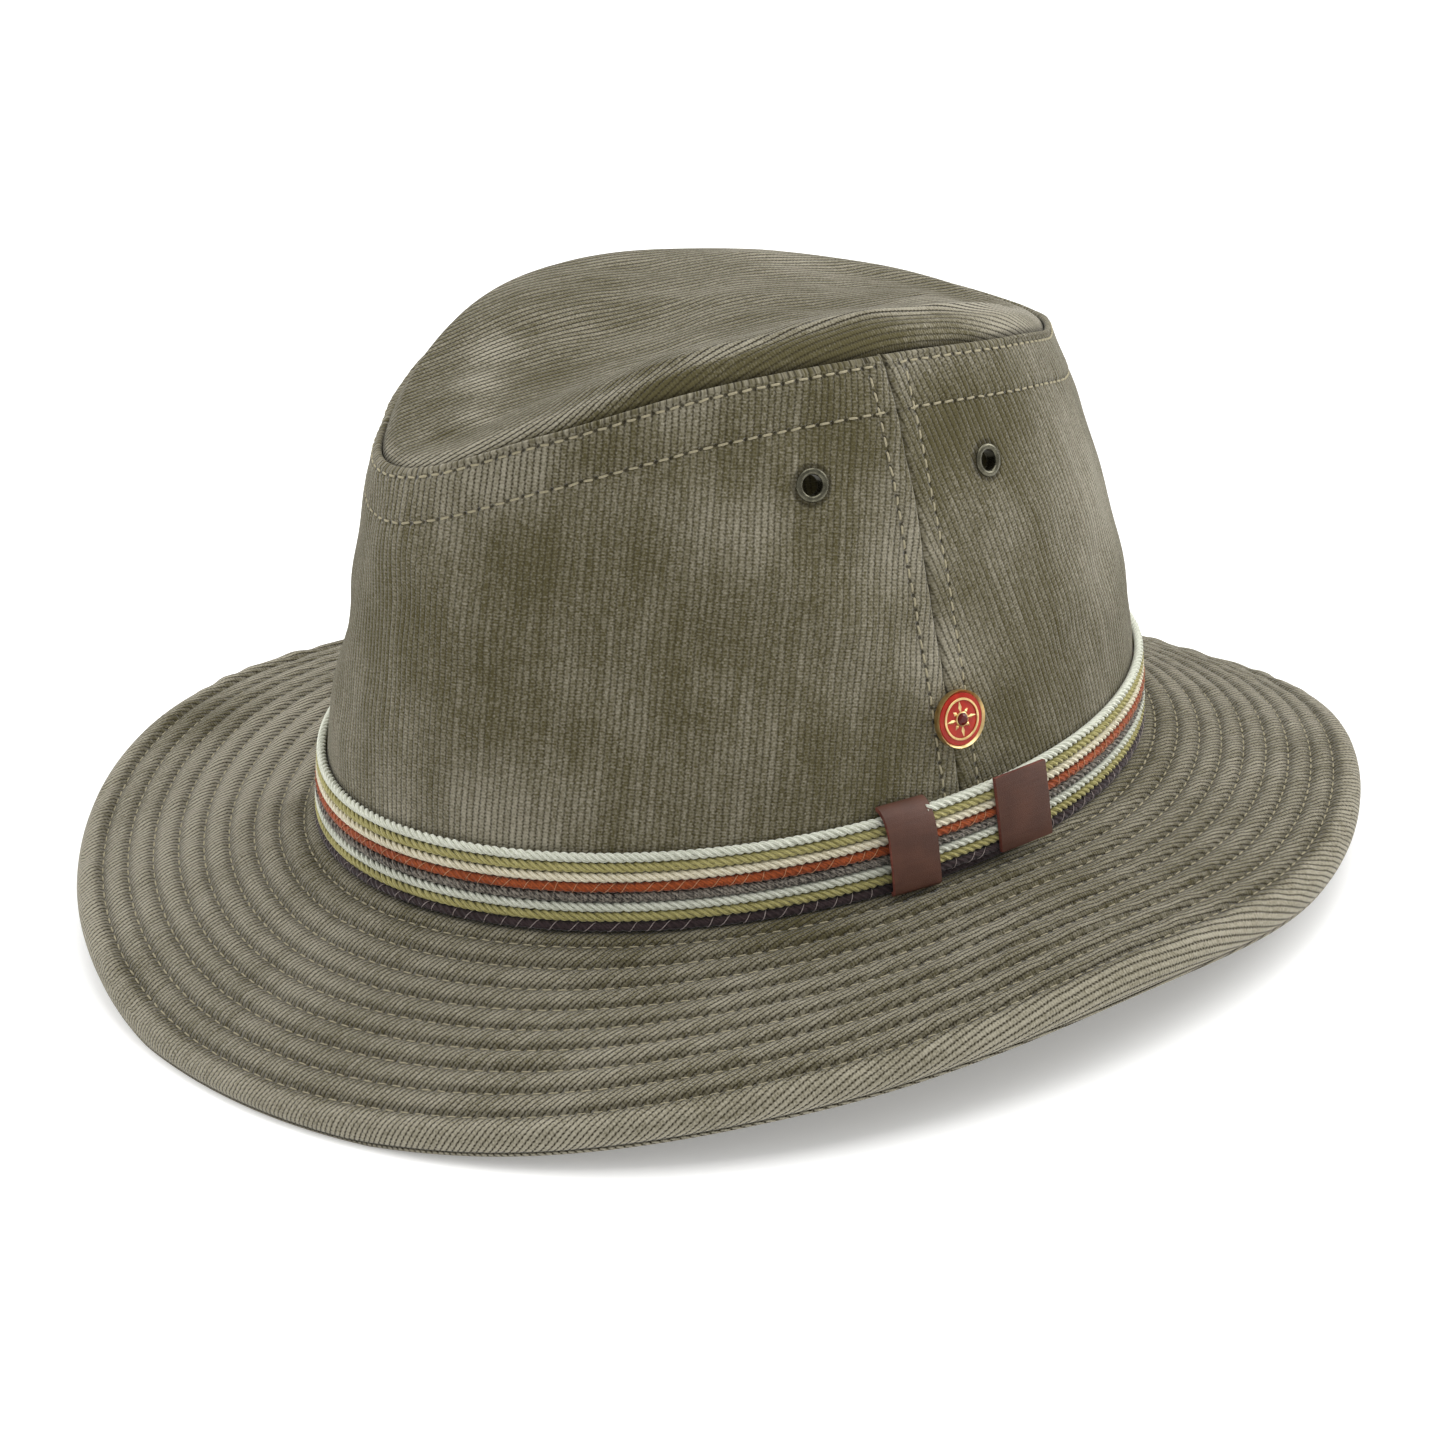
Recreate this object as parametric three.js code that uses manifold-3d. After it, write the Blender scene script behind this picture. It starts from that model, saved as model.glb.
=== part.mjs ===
// A traveller hat of washed, ribbed cotton cloth. Two side panels and an oval tip panel make
// the creased crown, two cloths quilted together in nine rows make the brim, and a band of
// eight cords goes round the foot of the crown, held by two leather keepers.
// Millimetres, +Z up. The front of the hat faces -Y and the wearer's left is +X. Angles go
// round the head from the front towards the wearer's left. The brim rests on Z = 0.

import * as THREE from 'three';
import { mergeVertices } from 'three/addons/utils/BufferGeometryUtils.js';
import Module from 'manifold-3d';

const wasm = await Module();
wasm.setup();

// The oval that the crown stands on, measured outside the cloth.
const HEAD_LENGTH = 204;
const HEAD_WIDTH = 170;
const FRONT_NARROWING = 0.03;

// Heights above the surface that the hat rests on, at the middle of the head.
const FOOT_HEIGHT = 27;
const FOOT_TILT = 1.5;

// The middle of the hat's outline, seen from above, lies on the origin.
const SHIFT = new THREE.Vector3(1.5, 1.4, 0);

// The form of the hat every thirty degrees round the head. Reach and drop take the brim's
// edge out and down from the crown's foot, and roll is the part of the drop that its padded
// border makes. Lean and rise take the tip seam in and up from the foot, bulge rounds the side
// between them. Crest is how far the fold on the tip stands above the tip seam, and fold is
// how far inside the seam it lies.
const STATIONS = [
  { at: 0, reach: 56.4, drop: 23.4, roll: 1, lean: 13, rise: 95.2, bulge: 2, crest: 0.8, fold: 10 },
  { at: 30, reach: 58.5, drop: 21.3, roll: 1, lean: 21, rise: 105, bulge: 2, crest: 0.5, fold: 11 },
  { at: 60, reach: 57.2, drop: 13.7, roll: 2, lean: 27, rise: 112, bulge: 3, crest: 3, fold: 11 },
  { at: 90, reach: 54.2, drop: 9, roll: 3.5, lean: 26.5, rise: 111.5, bulge: 3, crest: 4.5, fold: 11 },
  { at: 120, reach: 53, drop: 16.3, roll: 3.5, lean: 22, rise: 104.3, bulge: 3.5, crest: 4, fold: 11 },
  { at: 150, reach: 53, drop: 15.3, roll: 1.5, lean: 18.6, rise: 93.4, bulge: 5.6, crest: 2, fold: 11 },
  { at: 180, reach: 53.5, drop: 25.6, roll: 1, lean: 9.8, rise: 87.2, bulge: 3, crest: 0.5, fold: 11 },
  { at: 210, reach: 52.8, drop: 26.2, roll: 1, lean: 12.5, rise: 91.3, bulge: 3, crest: 1.5, fold: 11 },
  { at: 240, reach: 55.6, drop: 21.3, roll: 1.5, lean: 19.5, rise: 97.7, bulge: 3, crest: 2.8, fold: 9 },
  { at: 270, reach: 57.2, drop: 14.6, roll: 2, lean: 26, rise: 103.5, bulge: 3, crest: 3.6, fold: 7 },
  { at: 300, reach: 61.7, drop: 8.5, roll: 1.5, lean: 28.8, rise: 104, bulge: 4, crest: 4.6, fold: 6 },
  { at: 330, reach: 58.5, drop: 13.3, roll: 1, lean: 20.8, rise: 95.3, bulge: 3.3, crest: 4.6, fold: 6 },
];

// The fingers' dents in the crown, each side of the front: place, depth and spread.
const PINCHES = [
  { at: 42, height: 0.5, depth: 3.5, spread: 17, tallness: 0.2 },
  { at: -42, height: 0.57, depth: 4.4, spread: 17, tallness: 0.2 },
];

// Cloth and the gap between pieces that touch.
const CROWN_CLOTH = 1.6;
const BRIM_CLOTH = 1.4;
const GAP = 0.3;

// The tip: a valley runs along its middle.
const VALLEY_HALF_LENGTH = 62;
const VALLEY_FRONT = 99;
const VALLEY_MIDDLE = 101;
const VALLEY_BACK = 95;
const TIP_EDGE_DROP = 0.9;
const TIP_LIFT = 2.1;

// The brim's quilting.
const ROW_COUNT = 9;
const FIRST_ROW = 4.8;
const BORDER = 7.8;
const PUFF = 0.8;
const BORDER_PUFF = 0.7;
const BRIM_WAVE = 0.2;

// The band of cords.
const CORD_COUNT = 8;
const BAND = { lift: 0.4, pitch: 2.25, proud: 2.2, valley: 1.3 };
const BAND_TAIL = { from: 83.6, to: 99, lift: 3.1, pitch: 2.05, proud: 1.7, valley: 0.9 };

// The leather keepers round the band.
const KEEPER_LEATHER = 1.1;
const KEEPER_HOOK = 0.8;
const KEEPER_ROUND = 8;
const FRONT_KEEPER = { at: 79.7, width: 12, bottom: 0.2, top: 20.2 };
const BACK_KEEPER = { at: 95.8, width: 15.2, bottom: 2.7, top: 20.3 };

// The two side seams, at the foot and at the tip.
const LEFT_SEAM = { foot: 89, tip: 90 };
const RIGHT_SEAM = { foot: 271, tip: 270 };

// The eyelets in the sides, and the badge on the left side seam.
const EYELETS = [
  { name: 'eyelet_left_front', at: 73.5, height: 0.8 },
  { name: 'eyelet_left_back', at: 104.5, height: 0.775 },
  { name: 'eyelet_right_front', at: -73.5, height: 0.8 },
  { name: 'eyelet_right_back', at: -104.5, height: 0.775 },
];
const EYELET = { bore: 2.3, barrel: 2.7, flange: 3.8, metal: 0.5 };
const BADGE = { at: 90.2, height: 0.3, radius: 6.5, rim: 0.8, thickness: 1.9, recess: 0.8 };
const BADGE_POST = { radius: 0.7, clutch: 3, clutchThickness: 2 };
const HOLE_CLEARANCE = 0.3;

// How finely the round shapes are divided.
const STEPS_ROUND = 52;
const SIDE_STEPS = 8;
const TIP_STEPS = 8;
const TIP_CROWDING = 1.3;
const METAL_STEPS = 9;
const LOWER_FACE_PLACES = [0, 0.3, 0.6, 0.84, 0.93, 0.98, 1];


const FULL_TURN = 360;
const rad = THREE.MathUtils.degToRad;

// A column of the station table at any angle, on a smooth closed curve through its values.
function station(column, angle) {
  const count = STATIONS.length;
  const step = ((angle / FULL_TURN) * count % count + count) % count;
  const first = Math.floor(step);
  const u = step - first;
  const at = (offset) => STATIONS[(first + offset + count) % count][column];
  const [a, b, c, d] = [at(-1), at(0), at(1), at(2)];
  const curve = 2 * b + (c - a) * u + (2 * a - 5 * b + 4 * c - d) * u * u;
  return 0.5 * (curve + (3 * b - a - 3 * c + d) * u * u * u);
}

// The foot of the crown: a point of the oval and the outward direction there.
function footPoint(angle) {
  const t = rad(angle);
  const width = (HEAD_WIDTH / 2) * (1 - FRONT_NARROWING * Math.cos(t));
  const height = FOOT_HEIGHT - FOOT_TILT * Math.cos(t);
  return new THREE.Vector3(width * Math.sin(t), (-HEAD_LENGTH / 2) * Math.cos(t), height);
}

function outward(angle) {
  const t = rad(angle);
  const half = HEAD_WIDTH / 2;
  const narrowing = FRONT_NARROWING * Math.cos(2 * t);
  const alongX = half * (Math.cos(t) - narrowing);
  const alongY = (HEAD_LENGTH / 2) * Math.sin(t);
  return new THREE.Vector3(alongY, -alongX, 0).normalize();
}

// The shorter way round from one angle to another, in degrees.
function turnBetween(from, to) {
  return ((to - from + FULL_TURN / 2) % FULL_TURN + FULL_TURN) % FULL_TURN - FULL_TURN / 2;
}

function pinchDepth(angle, u) {
  let depth = 0;
  for (const pinch of PINCHES) {
    const aside = turnBetween(pinch.at, angle) / pinch.spread;
    const above = (u - pinch.height) / pinch.tallness;
    depth += pinch.depth * Math.exp(-aside * aside - above * above);
  }
  return depth;
}

// A point of the crown's side: u runs from the foot, 0, to the tip seam, 1, and proud is the
// distance outside the cloth's outer face.
function sidePoint(angle, u, proud = 0) {
  const bulge = station('bulge', angle) * 4 * u * (1 - u);
  const out = bulge + proud - station('lean', angle) * u - pinchDepth(angle, u);
  const point = footPoint(angle).addScaledVector(outward(angle), out);
  point.z += station('rise', angle) * u;
  return point;
}

// Axes on the crown's side: X along the cloth, Y up the cloth and Z straight out of it.
function wallFrame(angle, u, proud = 0) {
  const up = sidePoint(angle, u + 0.02).sub(sidePoint(angle, u - 0.02)).normalize();
  const along = sidePoint(angle + 0.5, u).sub(sidePoint(angle - 0.5, u));
  along.addScaledVector(up, -along.dot(up)).normalize();
  const out = new THREE.Vector3().crossVectors(along, up);
  const frame = new THREE.Matrix4().makeBasis(along, up, out);
  return frame.setPosition(sidePoint(angle, u).addScaledVector(out, proud));
}

// A point of the brim's middle surface, between its two cloths. s runs from the crown's foot,
// 0, to the edge, 1, and height is the distance above that surface. Where the under cloth's
// lower face would go below what the hat rests on, both cloths bend and lie flat on it.
function brimPoint(angle, s, height = 0) {
  const reach = station('reach', angle);
  const roll = station('roll', angle);
  const drop = station('drop', angle) - roll;
  const border = BORDER / reach;
  const wave = s + (BRIM_WAVE * Math.sin(2 * Math.PI * s)) / (2 * Math.PI);
  const waveSlope = 1 + BRIM_WAVE * Math.cos(2 * Math.PI * s);
  const inBorder = Math.max(0, (s - 1 + border) / border);
  const underCrown = s <= 0;
  const fall = underCrown ? 0 : drop * wave + roll * inBorder ** 2;
  const slope = underCrown ? 0 : drop * waveSlope + (2 * roll * inBorder) / border;
  const steep = Math.hypot(reach, slope);
  const point = footPoint(angle);
  const middle = point.z - BRIM_CLOTH - GAP / 2 - fall;
  const lowest = middle - ((BRIM_CLOTH + GAP / 2) * reach) / steep;
  point.addScaledVector(outward(angle), reach * s + (height * slope) / steep);
  point.z = middle + (height * reach) / steep + Math.max(0, -lowest);
  return point;
}

function orient(geometry) {
  const position = geometry.getAttribute('position');
  const index = geometry.getIndex();
  const [a, b, c] = [new THREE.Vector3(), new THREE.Vector3(), new THREE.Vector3()];
  let volume = 0;
  for (let i = 0; i < index.count; i += 3) {
    a.fromBufferAttribute(position, index.getX(i));
    b.fromBufferAttribute(position, index.getX(i + 1));
    c.fromBufferAttribute(position, index.getX(i + 2));
    volume += a.dot(b.cross(c));
  }
  if (volume < 0) {
    for (let i = 0; i < index.count; i += 3) {
      const second = index.getX(i + 1);
      index.setX(i + 1, index.getX(i + 2));
      index.setX(i + 2, second);
    }
  }
  geometry.computeVertexNormals();
  return geometry;
}

// A wall of cloth from its cross-sections, which all have the same numbers of points. A ring
// closes on itself, and a zipped ring's last points meet across the hat. The sections of a wall
// that isn't a ring have as many points on the inner face as on the outer. Both faces are cut
// into triangles along the same diagonals, so that two cloths that face each other stay apart.
function clothWall(sections, { ring = true, zipped = false } = {}) {
  const count = sections[0].outer.length;
  const loop = count + sections[0].inner.length;
  const vertices = [];
  for (const { outer, inner } of sections) {
    for (const point of [...outer, ...[...inner].reverse()]) vertices.push(point.x, point.y, point.z);
  }
  const faces = [];
  const quad = (a, b, c, d) => faces.push(a, b, c, a, c, d);
  const last = ring ? sections.length : sections.length - 1;
  for (let i = 0; i < last; i += 1) {
    const here = i * loop;
    const next = ((i + 1) % sections.length) * loop;
    for (let j = 0; j < loop; j += 1) {
      const k = (j + 1) % loop;
      if (zipped && j === count - 1) continue;
      if (j < count) quad(here + j, next + j, next + k, here + k);
      else quad(next + j, next + k, here + k, here + j);
    }
  }
  if (!ring) {
    const end = (sections.length - 1) * loop;
    for (let j = 0; j < count - 1; j += 1) {
      const back = loop - 1 - j;
      quad(j, j + 1, back - 1, back);
      quad(end + j, end + back, end + back - 1, end + j + 1);
    }
  }
  const geometry = new THREE.BufferGeometry();
  geometry.setAttribute('position', new THREE.Float32BufferAttribute(vertices, 3));
  geometry.setIndex(faces);
  return orient(mergeVertices(geometry));
}

function toSolid(geometry) {
  const bare = new THREE.BufferGeometry();
  bare.setAttribute('position', geometry.getAttribute('position').clone());
  const index = geometry.getIndex();
  bare.setIndex(index ? index.clone() : null);
  const merged = mergeVertices(bare);
  const mesh = new wasm.Mesh({
    numProp: 3,
    vertProperties: new Float32Array(merged.getAttribute('position').array),
    triVerts: new Uint32Array(merged.getIndex().array),
  });
  return new wasm.Manifold(mesh);
}

function fromSolid(solid) {
  const { vertProperties, triVerts } = solid.getMesh();
  const geometry = new THREE.BufferGeometry();
  geometry.setAttribute('position', new THREE.BufferAttribute(vertProperties, 3));
  geometry.setIndex(new THREE.BufferAttribute(triVerts, 1));
  geometry.computeVertexNormals();
  return geometry;
}

// A punch straight through the side's cloth, for an eyelet or the badge's post.
function punch({ at, height }, radius) {
  const depth = 12;
  const cylinder = new THREE.CylinderGeometry(radius, radius, depth, METAL_STEPS);
  cylinder.rotateX(Math.PI / 2).applyMatrix4(wallFrame(at, height));
  return toSolid(cylinder);
}

// One of the two side panels, between two seams. Turn takes the first seam back a whole turn
// where the panel passes the front.
function sidePanel(fromSeam, toSeam, turn) {
  const trim = (GAP / 2 / (HEAD_LENGTH / 2)) * THREE.MathUtils.RAD2DEG;
  const steps = STEPS_ROUND / 2;
  const sections = [];
  for (let i = 0; i <= steps; i += 1) {
    const section = { outer: [], inner: [] };
    for (let j = 0; j <= SIDE_STEPS; j += 1) {
      const u = j / SIDE_STEPS;
      const start = THREE.MathUtils.lerp(fromSeam.foot, fromSeam.tip, u) - turn + trim;
      const end = THREE.MathUtils.lerp(toSeam.foot, toSeam.tip, u) - trim;
      const angle = THREE.MathUtils.lerp(start, end, i / steps);
      const lift = GAP * (1 - u);
      const outer = sidePoint(angle, u);
      const inner = sidePoint(angle, u, -CROWN_CLOTH);
      outer.z += lift;
      inner.z += lift;
      section.outer.push(outer);
      section.inner.push(inner);
    }
    sections.push(section);
  }
  let solid = toSolid(clothWall(sections, { ring: false }));
  for (const eyelet of EYELETS) solid = solid.subtract(punch(eyelet, EYELET.barrel + HOLE_CLEARANCE));
  solid = solid.subtract(punch(BADGE, BADGE_POST.radius + HOLE_CLEARANCE));
  return fromSolid(solid);
}

// The tip panel's upper face: v runs from its seam, 0, in to the valley, 1. The valley is
// worked out from the angle folded onto one side, so that both sides meet there exactly.
function tipPoint(step, v) {
  const angle = (FULL_TURN * step) / STEPS_ROUND;
  const folded = Math.cos(rad((FULL_TURN * Math.min(step, STEPS_ROUND - step)) / STEPS_ROUND));
  const valleyEnd = folded > 0 ? VALLEY_FRONT : VALLEY_BACK;
  const valleyHeight = VALLEY_MIDDLE + (valleyEnd - VALLEY_MIDDLE) * folded ** 2;
  const valley = new THREE.Vector3(0, -VALLEY_HALF_LENGTH * folded, FOOT_HEIGHT + valleyHeight);
  if (v === 1) return valley;
  const seam = sidePoint(angle, 1);
  const fold = station('fold', angle) / seam.distanceTo(valley);
  const point = new THREE.Vector3().lerpVectors(seam, valley, v);
  const crest = seam.z + station('crest', angle);
  if (v < fold) {
    point.z = THREE.MathUtils.lerp(seam.z, crest, Math.sin((Math.PI / 2) * (v / fold)));
  } else {
    const down = (1 - Math.cos((Math.PI * (v - fold)) / (1 - fold))) / 2;
    point.z = THREE.MathUtils.lerp(crest, valley.z, down);
  }
  return point;
}

function tipPanel() {
  const sections = [];
  for (let step = 0; step < STEPS_ROUND; step += 1) {
    const section = { outer: [], inner: [] };
    for (let j = 0; j <= TIP_STEPS; j += 1) {
      const v = (j / TIP_STEPS) ** TIP_CROWDING;
      const upper = tipPoint(step, v);
      upper.z += TIP_LIFT - (j === 0 ? TIP_EDGE_DROP : 0);
      section.outer.push(upper);
      if (j % 2 === 0) {
        const lower = tipPoint(step, v);
        lower.z += GAP;
        section.inner.push(lower);
      }
    }
    sections.push(section);
  }
  return clothWall(sections, { zipped: true });
}

// The brim's width along its cloth, and where its stitched rows lie on it.
function rowPlaces(angle) {
  const width = Math.hypot(station('reach', angle), station('drop', angle));
  const pitch = (width - FIRST_ROW - BORDER) / (ROW_COUNT - 1);
  return Array.from({ length: ROW_COUNT }, (_, row) => (FIRST_ROW + pitch * row) / width);
}

// Where the two cloths' facing sides are divided, from under the crown's side to the edge.
function lowerFacePlaces(angle) {
  const start = -CROWN_CLOTH / station('reach', angle);
  return LOWER_FACE_PLACES.map((place) => (place === 0 ? start : place));
}

// The upper cloth: pulled down at each row and puffed up between the rows.
function brimTop() {
  const sections = [];
  for (let step = 0; step < STEPS_ROUND; step += 1) {
    const angle = (FULL_TURN * step) / STEPS_ROUND;
    const rows = rowPlaces(angle);
    const under = -CROWN_CLOTH / station('reach', angle);
    const places = [{ s: under, puff: 0 }, { s: 0, puff: 0 }];
    for (let row = 0; row < ROW_COUNT; row += 1) {
      places.push({ s: rows[row], puff: 0 });
      if (row < ROW_COUNT - 1) places.push({ s: (rows[row] + rows[row + 1]) / 2, puff: PUFF });
    }
    const lastRow = rows[ROW_COUNT - 1];
    places.push({ s: lastRow + (1 - lastRow) * 0.35, puff: BORDER_PUFF });
    places.push({ s: lastRow + (1 - lastRow) * 0.8, puff: BORDER_PUFF * 0.7 });
    places.push({ s: 1, puff: -BRIM_CLOTH * 0.4 });
    const outer = places.map(({ s, puff }) => brimPoint(angle, s, GAP / 2 + BRIM_CLOTH + puff));
    const inner = lowerFacePlaces(angle).map((s) => brimPoint(angle, s, GAP / 2));
    sections.push({ outer, inner });
  }
  return clothWall(sections);
}

function brimUnder() {
  const sections = [];
  for (let step = 0; step < STEPS_ROUND; step += 1) {
    const angle = (FULL_TURN * step) / STEPS_ROUND;
    const places = lowerFacePlaces(angle);
    const outer = places.map((s) => brimPoint(angle, s, -GAP / 2));
    const inner = places.map((s) => brimPoint(angle, s, -GAP / 2 - BRIM_CLOTH));
    sections.push({ outer, inner });
  }
  return clothWall(sections);
}

// A point of the band: along is the distance up the crown's side from the foot.
function bandPoint(angle, along, proud) {
  const length = Math.hypot(station('rise', angle), station('lean', angle));
  return sidePoint(angle, along / length, proud);
}

function bandSection(angle, band, base, backSteps) {
  const section = { outer: [], inner: [] };
  const edges = 2 * CORD_COUNT;
  for (let edge = 0; edge <= edges; edge += 1) {
    const along = band.lift + (edge * band.pitch) / 2;
    const thickness = edge % 2 ? band.proud : band.valley;
    section.outer.push(bandPoint(angle, along, base + thickness));
    if ((edge * backSteps) % edges === 0) section.inner.push(bandPoint(angle, along, base));
  }
  return section;
}

function hatband() {
  const sections = [];
  for (let step = 0; step < STEPS_ROUND; step += 1) {
    sections.push(bandSection((FULL_TURN * step) / STEPS_ROUND, BAND, GAP, 2));
  }
  return clothWall(sections);
}

// The end of the band, laid over its beginning between the two keepers.
function bandTail() {
  const steps = 4;
  const sections = [];
  for (let i = 0; i <= steps; i += 1) {
    const angle = THREE.MathUtils.lerp(BAND_TAIL.from, BAND_TAIL.to, i / steps);
    sections.push(bandSection(angle, BAND_TAIL, BAND.proud + 2 * GAP, 2 * CORD_COUNT));
  }
  return clothWall(sections, { ring: false });
}

// How far the keepers' inner face stands out from the crown: clear of the band and its end.
const KEEPER_STAND = BAND.proud + BAND_TAIL.proud + 3 * GAP;

function keeperStrip(shape, width) {
  const options = { depth: width, bevelEnabled: false, curveSegments: 6 };
  const strip = new THREE.ExtrudeGeometry(shape, options);
  return strip.translate(0, 0, -width / 2).rotateY(-Math.PI / 2);
}

// A leather strip that hooks in under the lowest cord and curves in to the crown over the top.
function frontKeeper({ bottom, top, width }) {
  const inner = KEEPER_STAND;
  const outer = inner + KEEPER_LEATHER;
  const start = top - KEEPER_ROUND;
  const reach = outer - GAP;
  const thick = KEEPER_LEATHER;
  const quarter = Math.PI / 2;
  const shape = new THREE.Shape();
  shape.moveTo(inner - KEEPER_HOOK, bottom);
  shape.lineTo(outer - thick, bottom);
  shape.absarc(outer - thick, bottom + thick, thick, -quarter, 0, false);
  shape.absellipse(GAP, start, reach, KEEPER_ROUND, 0, quarter, false);
  shape.absellipse(GAP, start, reach - thick, KEEPER_ROUND - thick, quarter, 0, true);
  shape.lineTo(inner, bottom + thick);
  shape.lineTo(inner - KEEPER_HOOK, bottom + thick);
  shape.closePath();
  return keeperStrip(shape, width);
}

// A flat leather strip across the end of the band.
function backKeeper({ bottom, top, width }) {
  const outer = KEEPER_STAND + KEEPER_LEATHER;
  const shape = new THREE.Shape();
  shape.moveTo(KEEPER_STAND, bottom);
  shape.lineTo(outer, bottom);
  shape.lineTo(outer, top);
  shape.lineTo(KEEPER_STAND, top);
  shape.closePath();
  return keeperStrip(shape, width);
}

// A brass ring rolled over both faces of the cloth, open in the middle.
function eyeletRing() {
  const { bore, barrel, flange, metal } = EYELET;
  const front = GAP + metal;
  const back = -CROWN_CLOTH - GAP - metal;
  const profile = [
    [bore, back], [flange - 0.2, back], [flange - 0.2, back + metal], [barrel, back + metal],
    [barrel, GAP], [flange, GAP], [flange - 0.4, front], [bore + 0.4, front], [bore, GAP],
    [bore, back],
  ];
  const points = profile.map(([radius, height]) => new THREE.Vector2(radius, height));
  return new THREE.LatheGeometry(points, METAL_STEPS).rotateX(Math.PI / 2);
}

// A round pin with a raised rim, its post and the clutch that holds it behind the cloth.
function badgeBase() {
  const { radius, rim, thickness, recess } = BADGE;
  const { radius: post, clutch, clutchThickness } = BADGE_POST;
  const face = GAP + thickness;
  const back = -CROWN_CLOTH - GAP;
  const profile = [
    [0, back - clutchThickness], [clutch, back - clutchThickness], [clutch, back],
    [post, back], [post, GAP], [radius - 0.3, GAP], [radius, GAP + 0.4],
    [radius, face - 0.3], [radius - 0.3, face], [radius - rim, face],
    [radius - rim, face - recess], [0, face - recess],
  ];
  const points = profile.map(([r, height]) => new THREE.Vector2(r, height));
  return new THREE.LatheGeometry(points, METAL_STEPS * 2).rotateX(Math.PI / 2);
}

function badgeEnamel() {
  const { radius, rim, thickness, recess } = BADGE;
  const floor = GAP + thickness - recess + 0.1;
  const disc = radius - rim - 0.1;
  const points = [[0, floor], [disc, floor], [disc, floor + 0.5], [0, floor + 0.6]];
  const profile = points.map(([r, height]) => new THREE.Vector2(r, height));
  return new THREE.LatheGeometry(profile, METAL_STEPS * 2).rotateX(Math.PI / 2);
}

function material(colour, roughness, metalness = 0) {
  return new THREE.MeshStandardMaterial({ color: colour, roughness, metalness });
}

const COTTON = material('#767058', 0.95);
const COTTON_UNDER = material('#6d6751', 0.95);
const CORDS = material('#a8a888', 0.9);
const LEATHER = material('#553d33', 0.6);
const GUNMETAL = material('#55544b', 0.4, 0.9);
const GOLD = material('#d8b35c', 0.3, 0.95);
const ENAMEL = material('#b02f22', 0.2);

const hat = new THREE.Group();
hat.position.copy(SHIFT);

function addPiece(name, geometry, finish, frame = new THREE.Matrix4()) {
  const mesh = new THREE.Mesh(geometry, finish);
  mesh.name = name;
  frame.decompose(mesh.position, mesh.quaternion, mesh.scale);
  hat.add(mesh);
}

addPiece('crown_side_front', sidePanel(RIGHT_SEAM, LEFT_SEAM, FULL_TURN), COTTON);
addPiece('crown_side_back', sidePanel(LEFT_SEAM, RIGHT_SEAM, 0), COTTON);
addPiece('crown_tip', tipPanel(), COTTON);
addPiece('brim_top', brimTop(), COTTON);
addPiece('brim_under', brimUnder(), COTTON_UNDER);
addPiece('hatband', hatband(), CORDS);
addPiece('hatband_tail', bandTail(), CORDS);
addPiece('keeper_front', frontKeeper(FRONT_KEEPER), LEATHER, wallFrame(FRONT_KEEPER.at, 0));
addPiece('keeper_back', backKeeper(BACK_KEEPER), LEATHER, wallFrame(BACK_KEEPER.at, 0));
for (const eyelet of EYELETS) {
  addPiece(eyelet.name, eyeletRing(), GUNMETAL, wallFrame(eyelet.at, eyelet.height));
}
addPiece('badge_base', badgeBase(), GOLD, wallFrame(BADGE.at, BADGE.height));
addPiece('badge_enamel', badgeEnamel(), ENAMEL, wallFrame(BADGE.at, BADGE.height));

export default hat;
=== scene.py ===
"""A traveller hat of washed, ribbed cotton cloth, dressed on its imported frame.

Shapes are worked out in millimetres, as the cloth is cut, and placed in metres. Angles go
round the head in degrees, from the front at -Y towards the wearer's left at +X.
"""

import math

import bpy
import numpy as np
from mathutils import Matrix, Vector


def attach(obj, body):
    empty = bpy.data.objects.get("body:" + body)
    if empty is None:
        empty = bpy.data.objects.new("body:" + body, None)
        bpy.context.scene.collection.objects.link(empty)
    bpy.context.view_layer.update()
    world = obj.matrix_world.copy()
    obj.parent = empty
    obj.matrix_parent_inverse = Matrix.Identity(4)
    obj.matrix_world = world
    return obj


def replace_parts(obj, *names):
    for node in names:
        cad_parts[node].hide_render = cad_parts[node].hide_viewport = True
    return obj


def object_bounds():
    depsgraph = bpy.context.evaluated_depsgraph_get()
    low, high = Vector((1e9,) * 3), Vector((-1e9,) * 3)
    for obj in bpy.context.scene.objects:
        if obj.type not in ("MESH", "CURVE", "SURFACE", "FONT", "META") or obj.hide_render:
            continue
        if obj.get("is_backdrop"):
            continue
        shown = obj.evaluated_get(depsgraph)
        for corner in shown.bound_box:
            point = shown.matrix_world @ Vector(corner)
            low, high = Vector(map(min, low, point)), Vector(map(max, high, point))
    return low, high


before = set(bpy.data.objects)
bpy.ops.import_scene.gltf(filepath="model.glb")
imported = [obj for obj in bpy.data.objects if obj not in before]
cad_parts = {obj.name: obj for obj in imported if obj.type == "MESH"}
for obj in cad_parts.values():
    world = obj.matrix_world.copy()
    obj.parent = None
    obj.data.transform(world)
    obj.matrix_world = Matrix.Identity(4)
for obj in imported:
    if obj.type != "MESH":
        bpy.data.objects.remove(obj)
cad_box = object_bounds()


# THE VIEW
# The hat lies on a plain pale floor and is seen through a long lens from its left front,
# a little from above. Soft light comes from above and from behind on both sides, so the
# side that faces the viewer is the darkest.

EYE_PLACE = (0.68549, -0.53585, 0.42327)
EYE_AZIMUTH, EYE_ELEVATION, EYE_ROLL = (math.radians(a) for a in (52.0212, 24.0912, -2.3555))
LENS = 100.6
FLOOR_SIZE = 12
LIT_PLACE = (0, 0, 0.07)

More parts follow.
